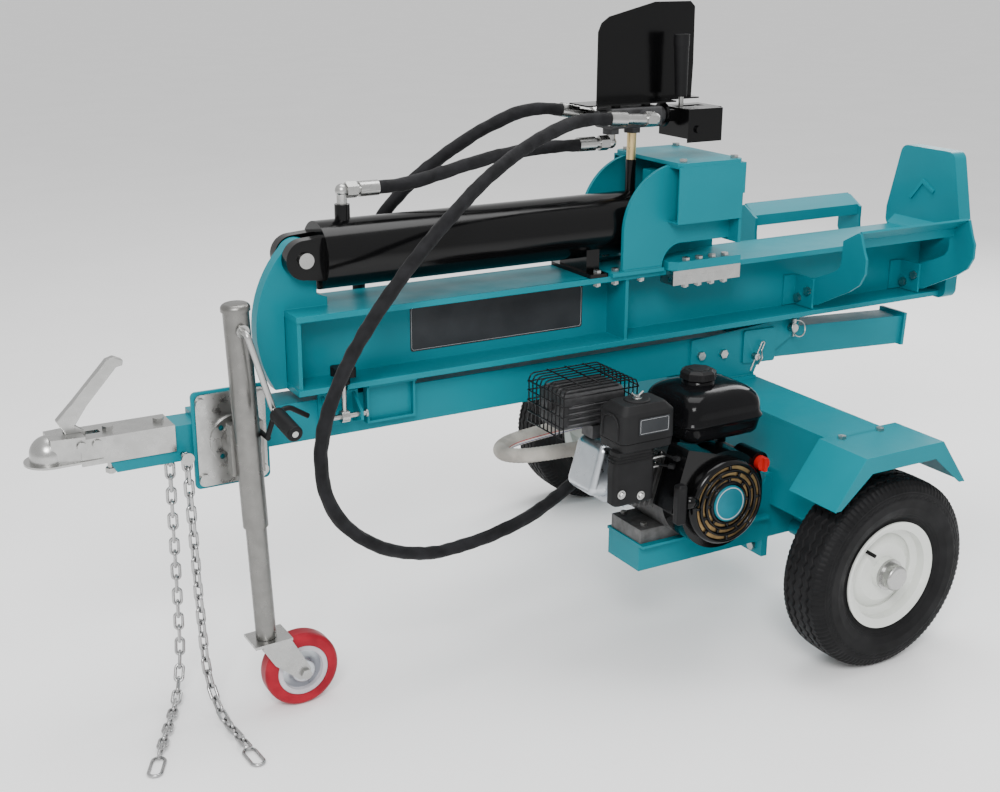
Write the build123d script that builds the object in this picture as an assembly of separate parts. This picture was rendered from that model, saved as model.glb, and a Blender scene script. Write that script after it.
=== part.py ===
"""Tow-behind petrol log splitter: drawbar chassis with tank axle, engine and pump, tilting splitting beam.

Millimetres, +Z up, +X along the beam towards its end plate, the engine on the -Y side.
Dimensions are written with X = 0 at the wheel axle; save() moves each part so that the origin
lies on the floor under the middle of the machine.
"""
from build123d import *
import math
import os

os.makedirs("parts", exist_ok=True)

# ---------------------------------------------------------------- driving dimensions
FRONT_X = -1574.0          # front lip of the coupler
REAR_X = 645.0             # back of the end plate
SHIFT = Location((-(FRONT_X + REAR_X) / 2, 0, 0))

BEAM_TOP = 772.0           # top of the beam's upper flange
BEAM_DEPTH = 156.0
BEAM_HALF_WIDTH = 79.0
FLANGE = 12.0
WEB = 10.0
BEAM_X0 = -1075.0
PLATE_X = 607.0            # splitting face of the end plate
BEAM_BOTTOM = BEAM_TOP - BEAM_DEPTH

TILT_X, TILT_Z = 166.0, 585.0     # beam tilt pin
PIVOT_PLATE_Y = 38.0              # inner face of the chassis pivot plates
PIVOT_PLATE_T = 6.0

CYL_Z = 868.0              # splitting cylinder axis
CYL_R = 66.0
CYL_BORE_R = 57.0
CYL_X0, CYL_X1 = -1000.0, -236.0
PIN_X = -1038.0
ROD_R = 28.0
STROKE = 600.0
PORT_A_X, PORT_B_X = -327.0, -273.0   # valve work ports above the cylinder's rod end

WEDGE_X0, WEDGE_X1 = -231.0, -46.0    # carriage
GUIDE_Y = 106.0
WEDGE_HALF = 30.0          # half width of the wedge's back plate and wings
STRIP_Y0, STRIP_Y1 = 76.0, 85.0       # stripper side plates
STRIP_TOP = 996.0

DRAW_Z0, DRAW_Z1 = 513.0, 593.0       # drawbar tube
DRAW_HALF = 40.0
DRAW_X0, DRAW_X1 = -1262.0, -10.0
TONGUE_X0 = -1435.0

TANK_X0, TANK_X1 = -85.0, 68.0
TANK_TOP = 480.0
TANK_HALF = 452.0
SUMP_HALF = 290.0
SUMP_Z0 = 197.0
TANK_Z0 = 280.0
TANK_WALL = 4.0

WHEEL_R = 207.0
WHEEL_Y = 534.0
TYRE_HALF = 61.0
RIM_R = 116.0
SPINDLE_R = 12.7

JACK_Y = -120.0
JACK_LEAN = 2.3            # degrees, foot towards the beam
JACK_TOP = (-1206.0, 812.0)
JACK_R = 24.0
CASTER_R = 76.0

ENGINE_X, ENGINE_Z = -300.0, 368.0    # crankshaft axis, along Y
MOUNT_TOP = 262.0

HOSE_R = 13.0
SUCTION_R = 16.0

COUPLER_BOLT_X = (-1420.0, -1326.0)
COUPLER_PIVOT = (-1478.0, 575.0)
CHAIN_BOLT = (-1294.0, 527.0)
PIVOT_BOLTS = ((-96.0, 552.0), (-32.0, 548.0))
STOP_PIN = (56.0, 532.0)
LATCH_X, LATCH_Y, LATCH_Z = -982.0, -74.0, 562.0
KNOB_Z = 628.0             # top of the beam's lower flange, under the knob
JACK_CORNER_BOLTS = ((-1260.0, 625.0), (-1144.0, 625.0), (-1260.0, 476.0), (-1144.0, 476.0))
SWIVEL = (-1196.0, 545.0)  # jack swivel axis, along Y
PLUNGER_R = 5.0
INNER_TOP = -320.0         # top of the jack's inner tube below the jack's top
JACK_FOOT = -655.0         # its underside
OUTER_FOOT = -420.0
CRANK_DROP = 32.0
TRAIL = 62.0               # caster wheel behind its swivel

FILLER = (20.0, 330.0)
RETURN_PORT = (-30.0, 180.0)
SUCTION_Y, SUCTION_Z = -52.0, 425.0
FENDER_BOLT_X = (-64.0, 40.0)
FENDER_BOLT_Y = 478.0
MOUNT_BOLTS = ((-270.0, 175.0), (-270.0, 279.0), (-112.0, 175.0), (-112.0, 279.0))
FRONT_LIP = 44.0

CYL_ANGLE = 16.0           # engine cylinder above the horizontal, leaning forward
BLOCK_Y0, BLOCK_Y1 = -335.0, -165.0
HEAD_Y = -250.0
ENGINE_BOLTS = ((-410.0, -284.0), (-410.0, -212.0), (-197.0, -284.0), (-197.0, -212.0))
FUEL_CAP = (-298.0, -298.0)
CHOKE = (-436.0, -350.0, 455.0)
THROTTLE = (-424.0, -354.0, 476.0)
SWITCH = (-208.0, 432.0)
PUMP_SUCTION = (-352.0, -86.0, 400.0)
PUMP_PRESSURE = (-352.0, -86.0, 344.0)

STRIP_BOLTS = ((-352.0, 68.0), (-286.0, 68.0))
SADDLE_BOLT_X = -396.0
CRADLE_X = (208.0, 546.0)
CRADLE_BOLTS = ((-26.0, 648.0), (-58.0, 670.0))
TOP_BOLT_X = (-213.0, -78.0)
TOP_BOLT_Y = 104.0
WEDGE_BOLT_X = (-187.0, -152.0, -117.0, -82.0)
BASE_PORT_Z = 962.0
ARM_LEAN = 3.0
ARM_X0, ARM_X1 = 108.0, 537.0
ARM_FRONT_TOP = 585.5      # top of the rear arm at its front end

VALVE_Z0, VALVE_Z1 = 1070.0, 1112.0
SPOOL_Z = 1091.0
LEVER_PIVOT = (-146.0, 1063.0)
HOSE_B_FRONT, HOSE_B_BACK = -867.0, -409.0
PRESSURE_END = (-374.0, -62.0, 1098.0)
RETURN_END = (-417.0, 56.0, 1107.0)

LINK_INNER = 27.0          # inside length of a chain link
LINK_WIRE = 3.2
LINK_BEND = 7.6
LINK_STEP = 26.6           # pitch of the hanging chain


# ---------------------------------------------------------------- helpers
def block(x0, x1, y0, y1, z0, z1):
    return Pos((x0 + x1) / 2, (y0 + y1) / 2, (z0 + z1) / 2) * Box(x1 - x0, y1 - y0, z1 - z0)


def rod_x(y, z, x0, x1, r):
    return Pos((x0 + x1) / 2, y, z) * Rot(0, 90, 0) * Cylinder(r, x1 - x0)


def rod_y(x, z, y0, y1, r):
    return Pos(x, (y0 + y1) / 2, z) * Rot(90, 0, 0) * Cylinder(r, y1 - y0)


def rod_z(x, y, z0, z1, r):
    return Pos(x, y, (z0 + z1) / 2) * Cylinder(r, z1 - z0)


def rod_between(a, b, r):
    start, end = Vector(*a), Vector(*b)
    return extrude(Plane(origin=start, z_dir=end - start) * Circle(r), (end - start).length)


def plate(points, axis, lo, hi, radius=0.0):
    """Flat plate: outline points in the two other axes (in X, Y, Z order), from lo to hi along axis."""
    place = {"x": lambda a, b: (lo, a, b), "y": lambda a, b: (a, lo, b), "z": lambda a, b: (a, b, lo)}
    way = {"x": (1, 0, 0), "y": (0, 1, 0), "z": (0, 0, 1)}
    wire = Wire.make_polygon([Vector(*place[axis](a, b)) for a, b in points], close=True)
    face = Face(wire)
    if radius:
        face = face.fillet_2d(radius, face.vertices())
    return extrude(face, hi - lo, dir=way[axis])


def square_tube(x0, x1, y0, y1, z0, z1, wall):
    return block(x0, x1, y0, y1, z0, z1) - block(x0 - 1, x1 + 1, y0 + wall, y1 - wall, z0 + wall, z1 - wall)


def bolt(x, y, z0, z1, r, head=None):
    """Upright bolt: hex head above z1, shank between, nut below z0, as one solid."""
    hex_r = head or r * 1.75
    shank = rod_z(x, y, z0 - r * 1.9, z1, r)
    top = Pos(x, y, z1 + r * 0.65) * extrude(RegularPolygon(hex_r, 6), r * 0.65, both=True)
    nut = Pos(x, y, z0 - r * 0.75) * extrude(RegularPolygon(hex_r, 6), r * 0.75, both=True)
    return shank + top + nut


def bolt_y(x, z, y0, y1, r):
    """Bolt along Y with its head on the -Y side at y0 and its nut on the +Y side at y1."""
    return Pos(x, 0, z) * Rot(90, 0, 0) * bolt(0, 0, -y1, -y0, r)


def bolt_x(y, z, x0, x1, r):
    """Bolt along X with its head on the -X side at x0 and its nut on the +X side at x1."""
    return Pos(0, y, z) * Rot(0, -90, 0) * bolt(0, 0, -x1, -x0, r)


def mirrored(shape):
    """The shape and its mirror image across the machine's centre plane."""
    return [shape, mirror(shape, Plane.XZ)]


def group(shapes):
    return Compound(children=[s for shape in shapes for s in shape.solids()])


def save(name, shape):
    if isinstance(shape, (list, tuple)):
        shape = group(shape)
    export_step(SHIFT * shape, f"parts/{name}.step")


def hose(name, points, radius):
    """Tube along straight runs joined by tangent arcs; prints its radii and checks its volume."""
    corners = [Vector(*p) for p in points]
    runs = [corners[i + 1] - corners[i] for i in range(len(corners) - 1)]
    radii = []
    for before, after in zip(runs, runs[1:]):
        half_turn = math.radians(before.get_angle(after)) / 2
        radii.append(0.45 * min(before.length, after.length) / math.tan(half_turn))
    path = FilletPolyline(*corners, radius=radii)
    tube = sweep(Plane(origin=corners[0], z_dir=runs[0]) * Circle(radius), path=path)
    expected = math.pi * radius**2 * path.length
    print(name, "length", round(path.length), "radii", [round(r) for r in radii],
          "volume ratio", round(tube.volume / expected, 4))
    save(name, tube)


# ---------------------------------------------------------------- chassis
def drawbar():
    main = square_tube(DRAW_X0, DRAW_X1, -DRAW_HALF, DRAW_HALF, DRAW_Z0, DRAW_Z1, 5)
    main += block(DRAW_X1 - 5, DRAW_X1, -DRAW_HALF, DRAW_HALF, DRAW_Z0, DRAW_Z1)
    step = block(DRAW_X0, DRAW_X0 + 6, -DRAW_HALF, DRAW_HALF, DRAW_Z0, DRAW_Z1)
    tongue = square_tube(TONGUE_X0, DRAW_X0 + 1, -34, 34, DRAW_Z0, 583, 5)
    tongue += block(TONGUE_X0, TONGUE_X0 + 5, -34, 34, DRAW_Z0, 583)
    # the front of the tongue is cut back at the bottom
    tongue -= plate([(TONGUE_X0 - 1, 505), (TONGUE_X0 + 22, 505), (TONGUE_X0 - 1, 548)], "y", -40, 40)
    shape = main + step + tongue + beam_rest() + latch_bracket() + jack_backing_plate()
    for y in (-30, 20):
        shape += block(-62, -12, y, y + 10, TANK_TOP, DRAW_Z0)
    for x in COUPLER_BOLT_X:
        shape -= rod_z(x, 0, 500, 600, 6.6)
    shape -= rod_y(CHAIN_BOLT[0], CHAIN_BOLT[1], -60, 60, 4.3)
    for x, z in PIVOT_BOLTS:
        shape -= rod_y(x, z, -60, 60, 6.6)
    return shape


def pivot_plate():
    """Near chassis plate at the drawbar's rear end that carries the beam's tilt pin."""
    rear_r = 24.0
    outline = [(-122, 484), (-122, 590), (40, 600), (TILT_X, TILT_Z + rear_r), (TILT_X, TILT_Z - rear_r),
               (70, 505), (60, 484)]
    shape = plate(outline, "y", -PIVOT_PLATE_Y - 2 - PIVOT_PLATE_T, -PIVOT_PLATE_Y - 2)
    y0, y1 = -PIVOT_PLATE_Y - 2 - PIVOT_PLATE_T, -PIVOT_PLATE_Y - 2
    shape += rod_y(TILT_X, TILT_Z, y0, y1, rear_r)
    shape -= rod_y(TILT_X, TILT_Z, -60, 0, 10.05)
    shape -= rod_y(STOP_PIN[0], STOP_PIN[1], -60, 0, 8.05)
    for x, z in PIVOT_BOLTS:
        shape -= rod_y(x, z, -60, 0, 6.6)
    foot = block(-122, 60, -58, -PIVOT_PLATE_Y - 2, TANK_TOP, TANK_TOP + 6)
    return shape + foot


def pivot_cheek():
    """Near doubler plate that carries the stop pin, outside the pivot plate."""
    y1 = -PIVOT_PLATE_Y - 2 - PIVOT_PLATE_T
    outline = [(24, 517), (24, 594), (118, 592), (118, 512)]
    shape = plate(outline, "y", y1 - 5, y1, 6)
    return shape - rod_y(STOP_PIN[0], STOP_PIN[1], -60, 0, 8.05)


def stop_pin():
    y = PIVOT_PLATE_Y + 2 + PIVOT_PLATE_T + 5
    shape = rod_y(STOP_PIN[0], STOP_PIN[1], -y - 14, y + 2, 8)
    shape += rod_y(STOP_PIN[0], STOP_PIN[1], y, y + 5, 13)
    x, z = STOP_PIN
    return shape - rod_between((x - 15, -y - 8, z - 32), (x + 15, -y - 8, z + 32), 2.2)


def stop_clip():
    """R-clip through the stop pin: straight leg, eye and humped leg, lying in one upright plane."""
    y = -(PIVOT_PLATE_Y + 2 + PIVOT_PLATE_T + 5) - 8
    x, z = STOP_PIN
    line = FilletPolyline((x - 15, y, z - 32), (x + 16, y, z + 34), (x + 24, y, z + 31), (x + 15, y, z + 12),
                          (x + 8, y - 13, z - 1), (x + 2, y - 6, z - 19), radius=[4.2, 4.2, 5, 5])
    start = Plane(origin=(x - 15, y, z - 32), z_dir=(31, 0, 66))
    return sweep(start * Circle(1.7), path=line)


def beam_rest():
    """Saddle pocket welded on the drawbar's near side that the beam's flange rests on."""
    pocket = block(-926, -820, -58, -DRAW_HALF, 532, 537) + block(-926, -921, -58, -DRAW_HALF, 532, 612)
    pocket += block(-825, -820, -58, -DRAW_HALF, 532, 612) + block(-926, -820, -46, -DRAW_HALF, 532, 612)
    pocket += block(-926, -820, -66, 36, 608, BEAM_BOTTOM)
    return pocket + block(-926, -820, 26, 36, DRAW_Z1, 610)


def latch_bracket():
    """U-shaped ears on the drawbar that hold the cross pin of the beam latch."""
    shape = block(-1024, -940, -46, -DRAW_HALF, 536, 604)
    for x in (-1018, -952):
        shape += plate([(-46, 540), (-46, 600), (LATCH_Y, 578), (LATCH_Y - 12, 570), (LATCH_Y - 12, 552)], "x", x, x + 6)
    return shape - rod_x(LATCH_Y, LATCH_Z, -1030, -935, 5.1)


def latch_pin():
    shape = rod_x(LATCH_Y, LATCH_Z, -1026, -938, 5)
    return shape + rod_x(LATCH_Y, LATCH_Z, -1030, -1026, 8) + rod_x(LATCH_Y, LATCH_Z, -938, -934, 8)


def latch_eyebolt():
    """Swing bolt that stands up through the slot in the beam's flange."""
    shape = rod_z(LATCH_X, LATCH_Y, LATCH_Z + 8, KNOB_Z + 24, 5) + rod_x(LATCH_Y, LATCH_Z, -990, -974, 12)
    return shape - rod_x(LATCH_Y, LATCH_Z, -995, -970, 5.1)


def latch_knob():
    """Four-lobed hand knob screwed down on the beam's flange."""
    shape = rod_z(LATCH_X, LATCH_Y, KNOB_Z, KNOB_Z + 18, 13)
    shape += rod_z(LATCH_X, LATCH_Y, KNOB_Z + 16, KNOB_Z + 34, 20)
    for k in range(4):
        a = math.radians(45 + 90 * k)
        shape += rod_z(LATCH_X + 15 * math.cos(a), LATCH_Y + 15 * math.sin(a), KNOB_Z + 16, KNOB_Z + 34, 11)
    return shape - rod_z(LATCH_X, LATCH_Y, 600, KNOB_Z + 24.1, 5.05)


def jack_backing_plate():
    """Teal plate welded to the drawbar's near side that the jack's mount is bolted to."""
    outline = [(-1276, 455), (-1276, 646), (-1128, 646), (-1128, 455)]
    shape = plate(outline, "y", -46, -DRAW_HALF, 10)
    for x, z in JACK_CORNER_BOLTS:
        shape -= rod_y(x, z, -60, -30, 5.6)
    return shape


def jack_mount():
    """Zinc mount plate with a raised round boss that the jack's socket turns on."""
    outline = [(-1270, 460), (-1270, 641), (-1134, 641), (-1134, 460)]
    shape = plate(outline, "y", -51, -46, 12)
    shape += rod_y(SWIVEL[0], SWIVEL[1], -56, -51, 50)
    shape += rod_y(SWIVEL[0], SWIVEL[1], -79, -56, 16)
    for x, z in JACK_CORNER_BOLTS:
        shape -= rod_y(x, z, -60, -30, 5.6)
    for k in range(4):
        a = math.radians(45 + 90 * k)
        x, z = SWIVEL[0] + 40 * math.cos(a), SWIVEL[1] + 40 * math.sin(a)
        shape -= rod_y(x, z, -60, -44, PLUNGER_R + 0.3)
    return shape


def hydraulic_tank():
    """Welded oil tank that is also the axle beam: a wide upper box on a narrower sump, hollow."""
    outer = block(TANK_X0, TANK_X1, -TANK_HALF, TANK_HALF, TANK_Z0, TANK_TOP)
    outer += block(TANK_X0, TANK_X1, -SUMP_HALF, SUMP_HALF, SUMP_Z0, TANK_Z0)
    w = TANK_WALL
    inner = block(TANK_X0 + w, TANK_X1 - w, -TANK_HALF + w, TANK_HALF - w, TANK_Z0 + w, TANK_TOP - w)
    inner += block(TANK_X0 + w, TANK_X1 - w, -SUMP_HALF + w, SUMP_HALF - w, SUMP_Z0 + w, TANK_Z0 + w)
    shape = outer - inner
    for side in (-1, 1):
        y0, y1 = sorted((side * (TANK_HALF - 1), side * 500))
        shape += block(TANK_X0 + 5, TANK_X1 - 5, y0, y1, TANK_TOP - 6, TANK_TOP)
    shape += rod_z(FILLER[0], FILLER[1], TANK_TOP, TANK_TOP + 18, 24)
    shape -= rod_z(FILLER[0], FILLER[1], TANK_TOP - 10, TANK_TOP + 30, 18)
    shape += rod_x(SUCTION_Y, SUCTION_Z, TANK_X0 - 16, TANK_X0, 20)
    shape -= rod_x(SUCTION_Y, SUCTION_Z, TANK_X0 - 20, TANK_X0 + 8, 10)
    for y in (-1, 1):
        for x in FENDER_BOLT_X:
            shape -= rod_z(x, y * FENDER_BOLT_Y, TANK_TOP - 10, TANK_TOP + 10, 5.2)
    return [shape + tank_flange() + axle_spindle() + mirror(axle_spindle(), Plane.XZ), return_elbow()]


def tank_cap():
    x, y = FILLER
    cap = rod_z(x, y, TANK_TOP + 18, TANK_TOP + 40, 29)
    cap = fillet(cap.edges().group_by(Axis.Z)[-1], 5)
    return cap + rod_z(x, y, TANK_TOP - 150, TANK_TOP + 18, 3)


def return_elbow():
    """Return port elbow on the tank with the hose end that points forward."""
    x, y = RETURN_PORT
    shape = rod_z(x, y, TANK_TOP, TANK_TOP + 20, 13) + Pos(x, y, TANK_TOP + 20) * Sphere(13)
    return shape + rod_x(y, TANK_TOP + 20, x - 60, x, HOSE_R + 2)


def axle_spindle():
    """Near wheel spindle: socket welded to the sump wall, seat and threaded end."""
    y = WHEEL_Y
    shape = rod_y(0, WHEEL_R, -(y - 62), -SUMP_HALF + 1, 19) + rod_y(0, WHEEL_R, -(y + 46), -(y - 62), SPINDLE_R)
    gusset = plate([(-SUMP_HALF + 1, WHEEL_R), (-SUMP_HALF + 1, TANK_Z0 + 1), (-430, TANK_Z0 + 1), (-430, WHEEL_R)],
                   "x", -5, 5)
    return shape + gusset


def fender():
    """Near mudguard: flat top bolted on the tank's flange, outer lip and two sloping flaps."""
    t = 3.0
    z = TANK_TOP + t
    y_in, y_out = -455.0, -592.0
    flap = [(-104, z), (-176, 384), (-173, 382), (-102, z - t), (104, z - t), (176, 382), (179, 384), (106, z)]
    shape = plate(flap, "y", y_out, y_in)
    lip = [(-104, z), (-176, 384), (-160, 384), (-84, 448), (88, 448), (163, 384), (179, 384), (106, z)]
    shape += plate(lip, "y", y_out, y_out + t)
    for x in FENDER_BOLT_X:
        shape -= rod_z(x, -FENDER_BOLT_Y, TANK_TOP - 5, TANK_TOP + 10, 5.2)
    return shape


def tyre():
    """Near tyre: pneumatic carcass with a hollow inside, bead seats and tread grooves."""
    w, r = TYRE_HALF, WHEEL_R
    outline = [(-46, RIM_R - 14), (-46, RIM_R + 6), (-60, RIM_R + 30), (-w, RIM_R + 52), (-54, r - 12), (-40, r),
               (40, r), (54, r - 12), (w, RIM_R + 52), (60, RIM_R + 30), (46, RIM_R + 6), (46, RIM_R - 14),
               (36, RIM_R - 14), (36, RIM_R + 6), (49, RIM_R + 34), (44, r - 16), (-44, r - 16),
               (-49, RIM_R + 34), (-36, RIM_R + 6), (-36, RIM_R - 14)]
    face = Face(Wire.make_polygon([Vector(0, a, b) for a, b in outline], close=True))
    solid = revolve(face, Axis((0, 0, 0), (0, 1, 0)))
    for y in (-26, -9, 9, 26):
        groove = rod_y(0, 0, y - 2.5, y + 2.5, r + 5) - rod_y(0, 0, y - 3, y + 3, r - 6)
        solid -= groove
    return Pos(0, -WHEEL_Y, WHEEL_R) * solid


def rim():
    """Near rim: drop-centre barrel with flanges, dished disc and a hub tube with bearing seats."""
    barrel = [(-51, RIM_R), (-51, RIM_R - 6), (-46, RIM_R - 18), (-28, RIM_R - 20), (-22, RIM_R - 34),
              (22, RIM_R - 34), (28, RIM_R - 20), (46, RIM_R - 18), (51, RIM_R - 6), (51, RIM_R),
              (47.5, RIM_R), (46.2, RIM_R - 14.2), (-46.2, RIM_R - 14.2), (-47.5, RIM_R)]
    well = [(-46.2, RIM_R - 14.2), (-24, RIM_R - 16), (-18, RIM_R - 30), (18, RIM_R - 30), (24, RIM_R - 16),
            (46.2, RIM_R - 14.2)]
    solid = revolve(Face(Wire.make_polygon([Vector(0, a, b) for a, b in barrel], close=True)),
                    Axis((0, 0, 0), (0, 1, 0)))
    solid -= revolve(Face(Wire.make_polygon([Vector(0, a, b) for a, b in well], close=True)),
                     Axis((0, 0, 0), (0, 1, 0)))
    disc = [(-30, 32), (-30, 62), (-15, RIM_R - 31), (-9, RIM_R - 31), (-24, 58), (-24, 32)]
    solid += revolve(Face(Wire.make_polygon([Vector(0, a, b) for a, b in disc], close=True)),
                     Axis((0, 0, 0), (0, 1, 0)))
    solid += rod_y(0, 0, -44, 44, 34)
    return Pos(0, -WHEEL_Y, WHEEL_R) * (solid - rod_y(0, 0, -70, 70, 22))


def bearings():
    """Two bearing rings of the near hub, running on the spindle."""
    rings = [rod_y(0, WHEEL_R, -WHEEL_Y + a, -WHEEL_Y + a + 16, 21.99)
             - rod_y(0, WHEEL_R, -WHEEL_Y + a - 1, -WHEEL_Y + a + 17, SPINDLE_R + 0.05) for a in (-42, 26)]
    return rings


def hub_cap():
    """Near zinc grease cap over the hub's outer end."""
    cap = rod_y(0, WHEEL_R, -WHEEL_Y - 72, -WHEEL_Y - 44, 27)
    cap = fillet(cap.edges().group_by(Axis.Y)[0], 6)
    cap += rod_y(0, WHEEL_R, -WHEEL_Y - 50, -WHEEL_Y - 44, 33)
    return cap - rod_y(0, WHEEL_R, -WHEEL_Y - 66, -WHEEL_Y - 40, 21)


def axle_nut():
    y = -WHEEL_Y - 46
    return Pos(0, y - 7, WHEEL_R) * Rot(90, 0, 0) * extrude(RegularPolygon(18, 6), 7, both=True)


def valve_stem():
    """Near tyre valve, standing outward from the rim's well."""
    return rod_between((-55.2, -WHEEL_Y - 23, WHEEL_R + 58.7), (-50, -WHEEL_Y - 52, WHEEL_R + 54), 4)


# ---------------------------------------------------------------- coupler and chains
def coupler_housing():
    """Pressed ball coupler: domed socket, tapering neck and a channel over the tongue tube."""
    ball_x, ball_z, w = -1530.0, 560.0, 36.0
    channel = block(-1480, -1306, -w - 2, w + 2, 536, 587) - block(-1481, -1300, -w + 1.9, w - 1.9, 530, 583)
    neck = plate([(-1530, -30), (-1470, -w - 2), (-1470, w + 2), (-1530, 30)], "z", 546, 592)
    dome = rod_z(ball_x, 0, 546, ball_z, 33) + Pos(ball_x, 0, ball_z) * Sphere(33)
    dome -= block(ball_x - 50, ball_x + 50, -50, 50, 500, 546)
    shape = channel + neck + dome
    lip = rod_z(ball_x, 0, 543, 547, FRONT_LIP) + plate([(-1530, -FRONT_LIP), (-1440, -w - 4), (-1440, w + 4),
                                                       (-1530, FRONT_LIP)], "z", 543, 547)
    shape += lip
    shape -= rod_z(ball_x, 0, 530, ball_z, 26) + Pos(ball_x, 0, ball_z) * Sphere(26)
    shape -= block(ball_x, -1436, -15, 15, 530, 582) + block(ball_x, -1436, -26, 26, 552, 582)
    shape -= block(-1500, -1436, -9, 9, 570, 600)
    for x in COUPLER_BOLT_X:
        shape -= rod_z(x, 0, 500, 600, 6.6)
    shape -= rod_y(COUPLER_PIVOT[0], COUPLER_PIVOT[1], -60, 60, 5.05)
    return shape


def coupler_lever():
    """Stamped handle with two cheeks on the pivot pin, raised at rest."""
    outline = [(-1490, 566), (-1466, 566), (-1462, 592), (-1480, 606), (-1456, 640), (-1398, 704), (-1386, 706),
               (-1384, 716), (-1400, 724), (-1414, 720), (-1478, 652), (-1512, 618), (-1500, 596)]
    blade = plate(outline, "y", -8, 8)
    slot = plate([(-1486, 560), (-1462, 560), (-1462, 602), (-1486, 612)], "y", -5, 5)
    shape = blade - slot
    return shape - rod_y(COUPLER_PIVOT[0], COUPLER_PIVOT[1], -20, 20, 5.05)


def coupler_pin():
    """Lever pivot pin and the rivets on both sides of the channel."""
    x, z = COUPLER_PIVOT
    pins = [rod_y(x, z, -38, 38, 5) + rod_y(x, z, -43, -38, 9) + rod_y(x, z, 38, 43, 9)]
    return pins + mirrored(rod_y(x + 28, z, -43, -38, 9))


def coupler_clamp():
    """Ball clamp inside the socket that the lever's cam presses under the ball."""
    shape = block(-1500, -1452, -4.6, 4.6, 548, 566) + block(-1502, -1490, -14, 14, 546, 560)
    shape -= rod_y(COUPLER_PIVOT[0], COUPLER_PIVOT[1], -20, 20, 10.3)
    return shape


def wire_loop(straight, bend, wire):
    """Closed oval of round wire in the XZ plane, long way along Z."""
    path = Polyline((bend, 0, -straight), (bend, 0, straight))
    path += ThreePointArc((bend, 0, straight), (0, 0, straight + bend), (-bend, 0, straight))
    path += Polyline((-bend, 0, straight), (-bend, 0, -straight))
    path += ThreePointArc((-bend, 0, -straight), (0, 0, -straight - bend), (bend, 0, -straight))
    section = Plane(origin=(bend, 0, -straight), z_dir=(0, 0, 1)) * Circle(wire)
    return sweep(section, path=path)


def safety_chain(side, path_points):
    """Links strung at equal steps along a path of runs and arcs, each turned a quarter from the last."""
    link = wire_loop(LINK_INNER / 2 + LINK_WIRE - LINK_BEND, LINK_BEND, LINK_WIRE)
    route = FilletPolyline(*path_points, radius=[110] * (len(path_points) - 2))
    count = int(route.length // LINK_STEP)
    links = []
    across = Vector(1, 0, 0)
    for k in range(count):
        at = (k + 0.5) * LINK_STEP / route.length
        along = route.tangent_at(at)
        across = (across - along * across.dot(along)).normalized()
        twist = 90 * (k % 2) - side * min(2.5 * k, 20)
        place = Plane(origin=route.position_at(at), x_dir=across, z_dir=along)
        links.append(place.location * Rot(0, 0, twist) * link)
    return links, route.position_at(count * LINK_STEP / route.length), route.tangent_at(1)


def snap_hook(at, along):
    """Oval spring hook lying on the floor at the chain's end."""
    place = Plane(origin=Vector(at.X, at.Y, 3.5) + along * 24.8, x_dir=(-along.Y, along.X, 0),
                  z_dir=(along.X, along.Y, 0))
    return place.location * wire_loop(18, 12, 3.2)


def safety_chains():
    bx, bz = CHAIN_BOLT
    near = [(bx, -56, bz + 4.3), (bx + 6, -54, 250), (bx + 12, -60, 11), (bx + 22, -250, 11)]
    far = [(bx, 56, bz + 4.3), (bx - 4, 54, 250), (bx - 12, 40, 11), (bx - 140, -215, 11)]
    pieces = []
    for side, points in ((1, near), (-1, far)):
        links, end, along = safety_chain(side, points)
        pieces += links + [snap_hook(end + along * 2, along)]
    return pieces


# ---------------------------------------------------------------- jack
def lean(shape):
    """Puts a part drawn upright about x = 0 at the jack's place, leaning about its top."""
    x, z = JACK_TOP
    return Pos(x, JACK_Y, z) * Rot(0, -JACK_LEAN, 0) * shape


def jack_outer():
    """Outer jack tube with its socket arm turning on the mount's boss."""
    tube = rod_z(0, 0, OUTER_FOOT, 0, JACK_R) - rod_z(0, 0, OUTER_FOOT - 1, -6, JACK_R - 3)
    tube -= rod_y(0, -CRANK_DROP, -40, 0, 7.05)
    shape = lean(tube)
    sx, sz = SWIVEL
    socket = rod_y(sx, sz, -98, -57, 30) + block(sx - 30, sx + 34, -114, -90, sz - 50, sz + 50)
    socket -= lean(rod_z(0, 0, OUTER_FOOT, 0, JACK_R - 1))
    socket -= rod_y(sx, sz, -80, -50, 16.05)
    px, pz = plunger_place()
    socket += block(px - 9, px + 9, -100, -62, pz - 9, pz + 9)
    return shape + socket - rod_y(px, pz, -140, -50, PLUNGER_R + 0.05)


def jack_cap():
    cap = rod_z(0, 0, 0, 14, JACK_R + 3)
    return lean(fillet(cap.edges().group_by(Axis.Z)[-1], 9))


def jack_crank():
    """Cranked winding handle: spindle out of the tube, long arm and grip pin."""
    z = -CRANK_DROP
    line = FilletPolyline((0, -20, z), (0, -50, z), (36, -54, z - 150), (38, -150, z - 166), radius=[10, 10])
    rod = sweep(Plane(origin=(0, -20, z), z_dir=(0, -1, 0)) * Circle(6), path=line)
    collar = rod_y(0, z, -32, -JACK_R - 0.5, 12)
    return lean(rod + collar)


def jack_grip():
    way = Vector(2, -96, -16)
    start = Vector(36, -54, -CRANK_DROP - 150) + way * 0.14
    axis = Plane(origin=start, z_dir=way)
    body = fillet(extrude(axis * Circle(15), 84).edges().filter_by(GeomType.CIRCLE), 4)
    return lean(body - extrude(axis.offset(-1) * Circle(6.05), 90))


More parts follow.
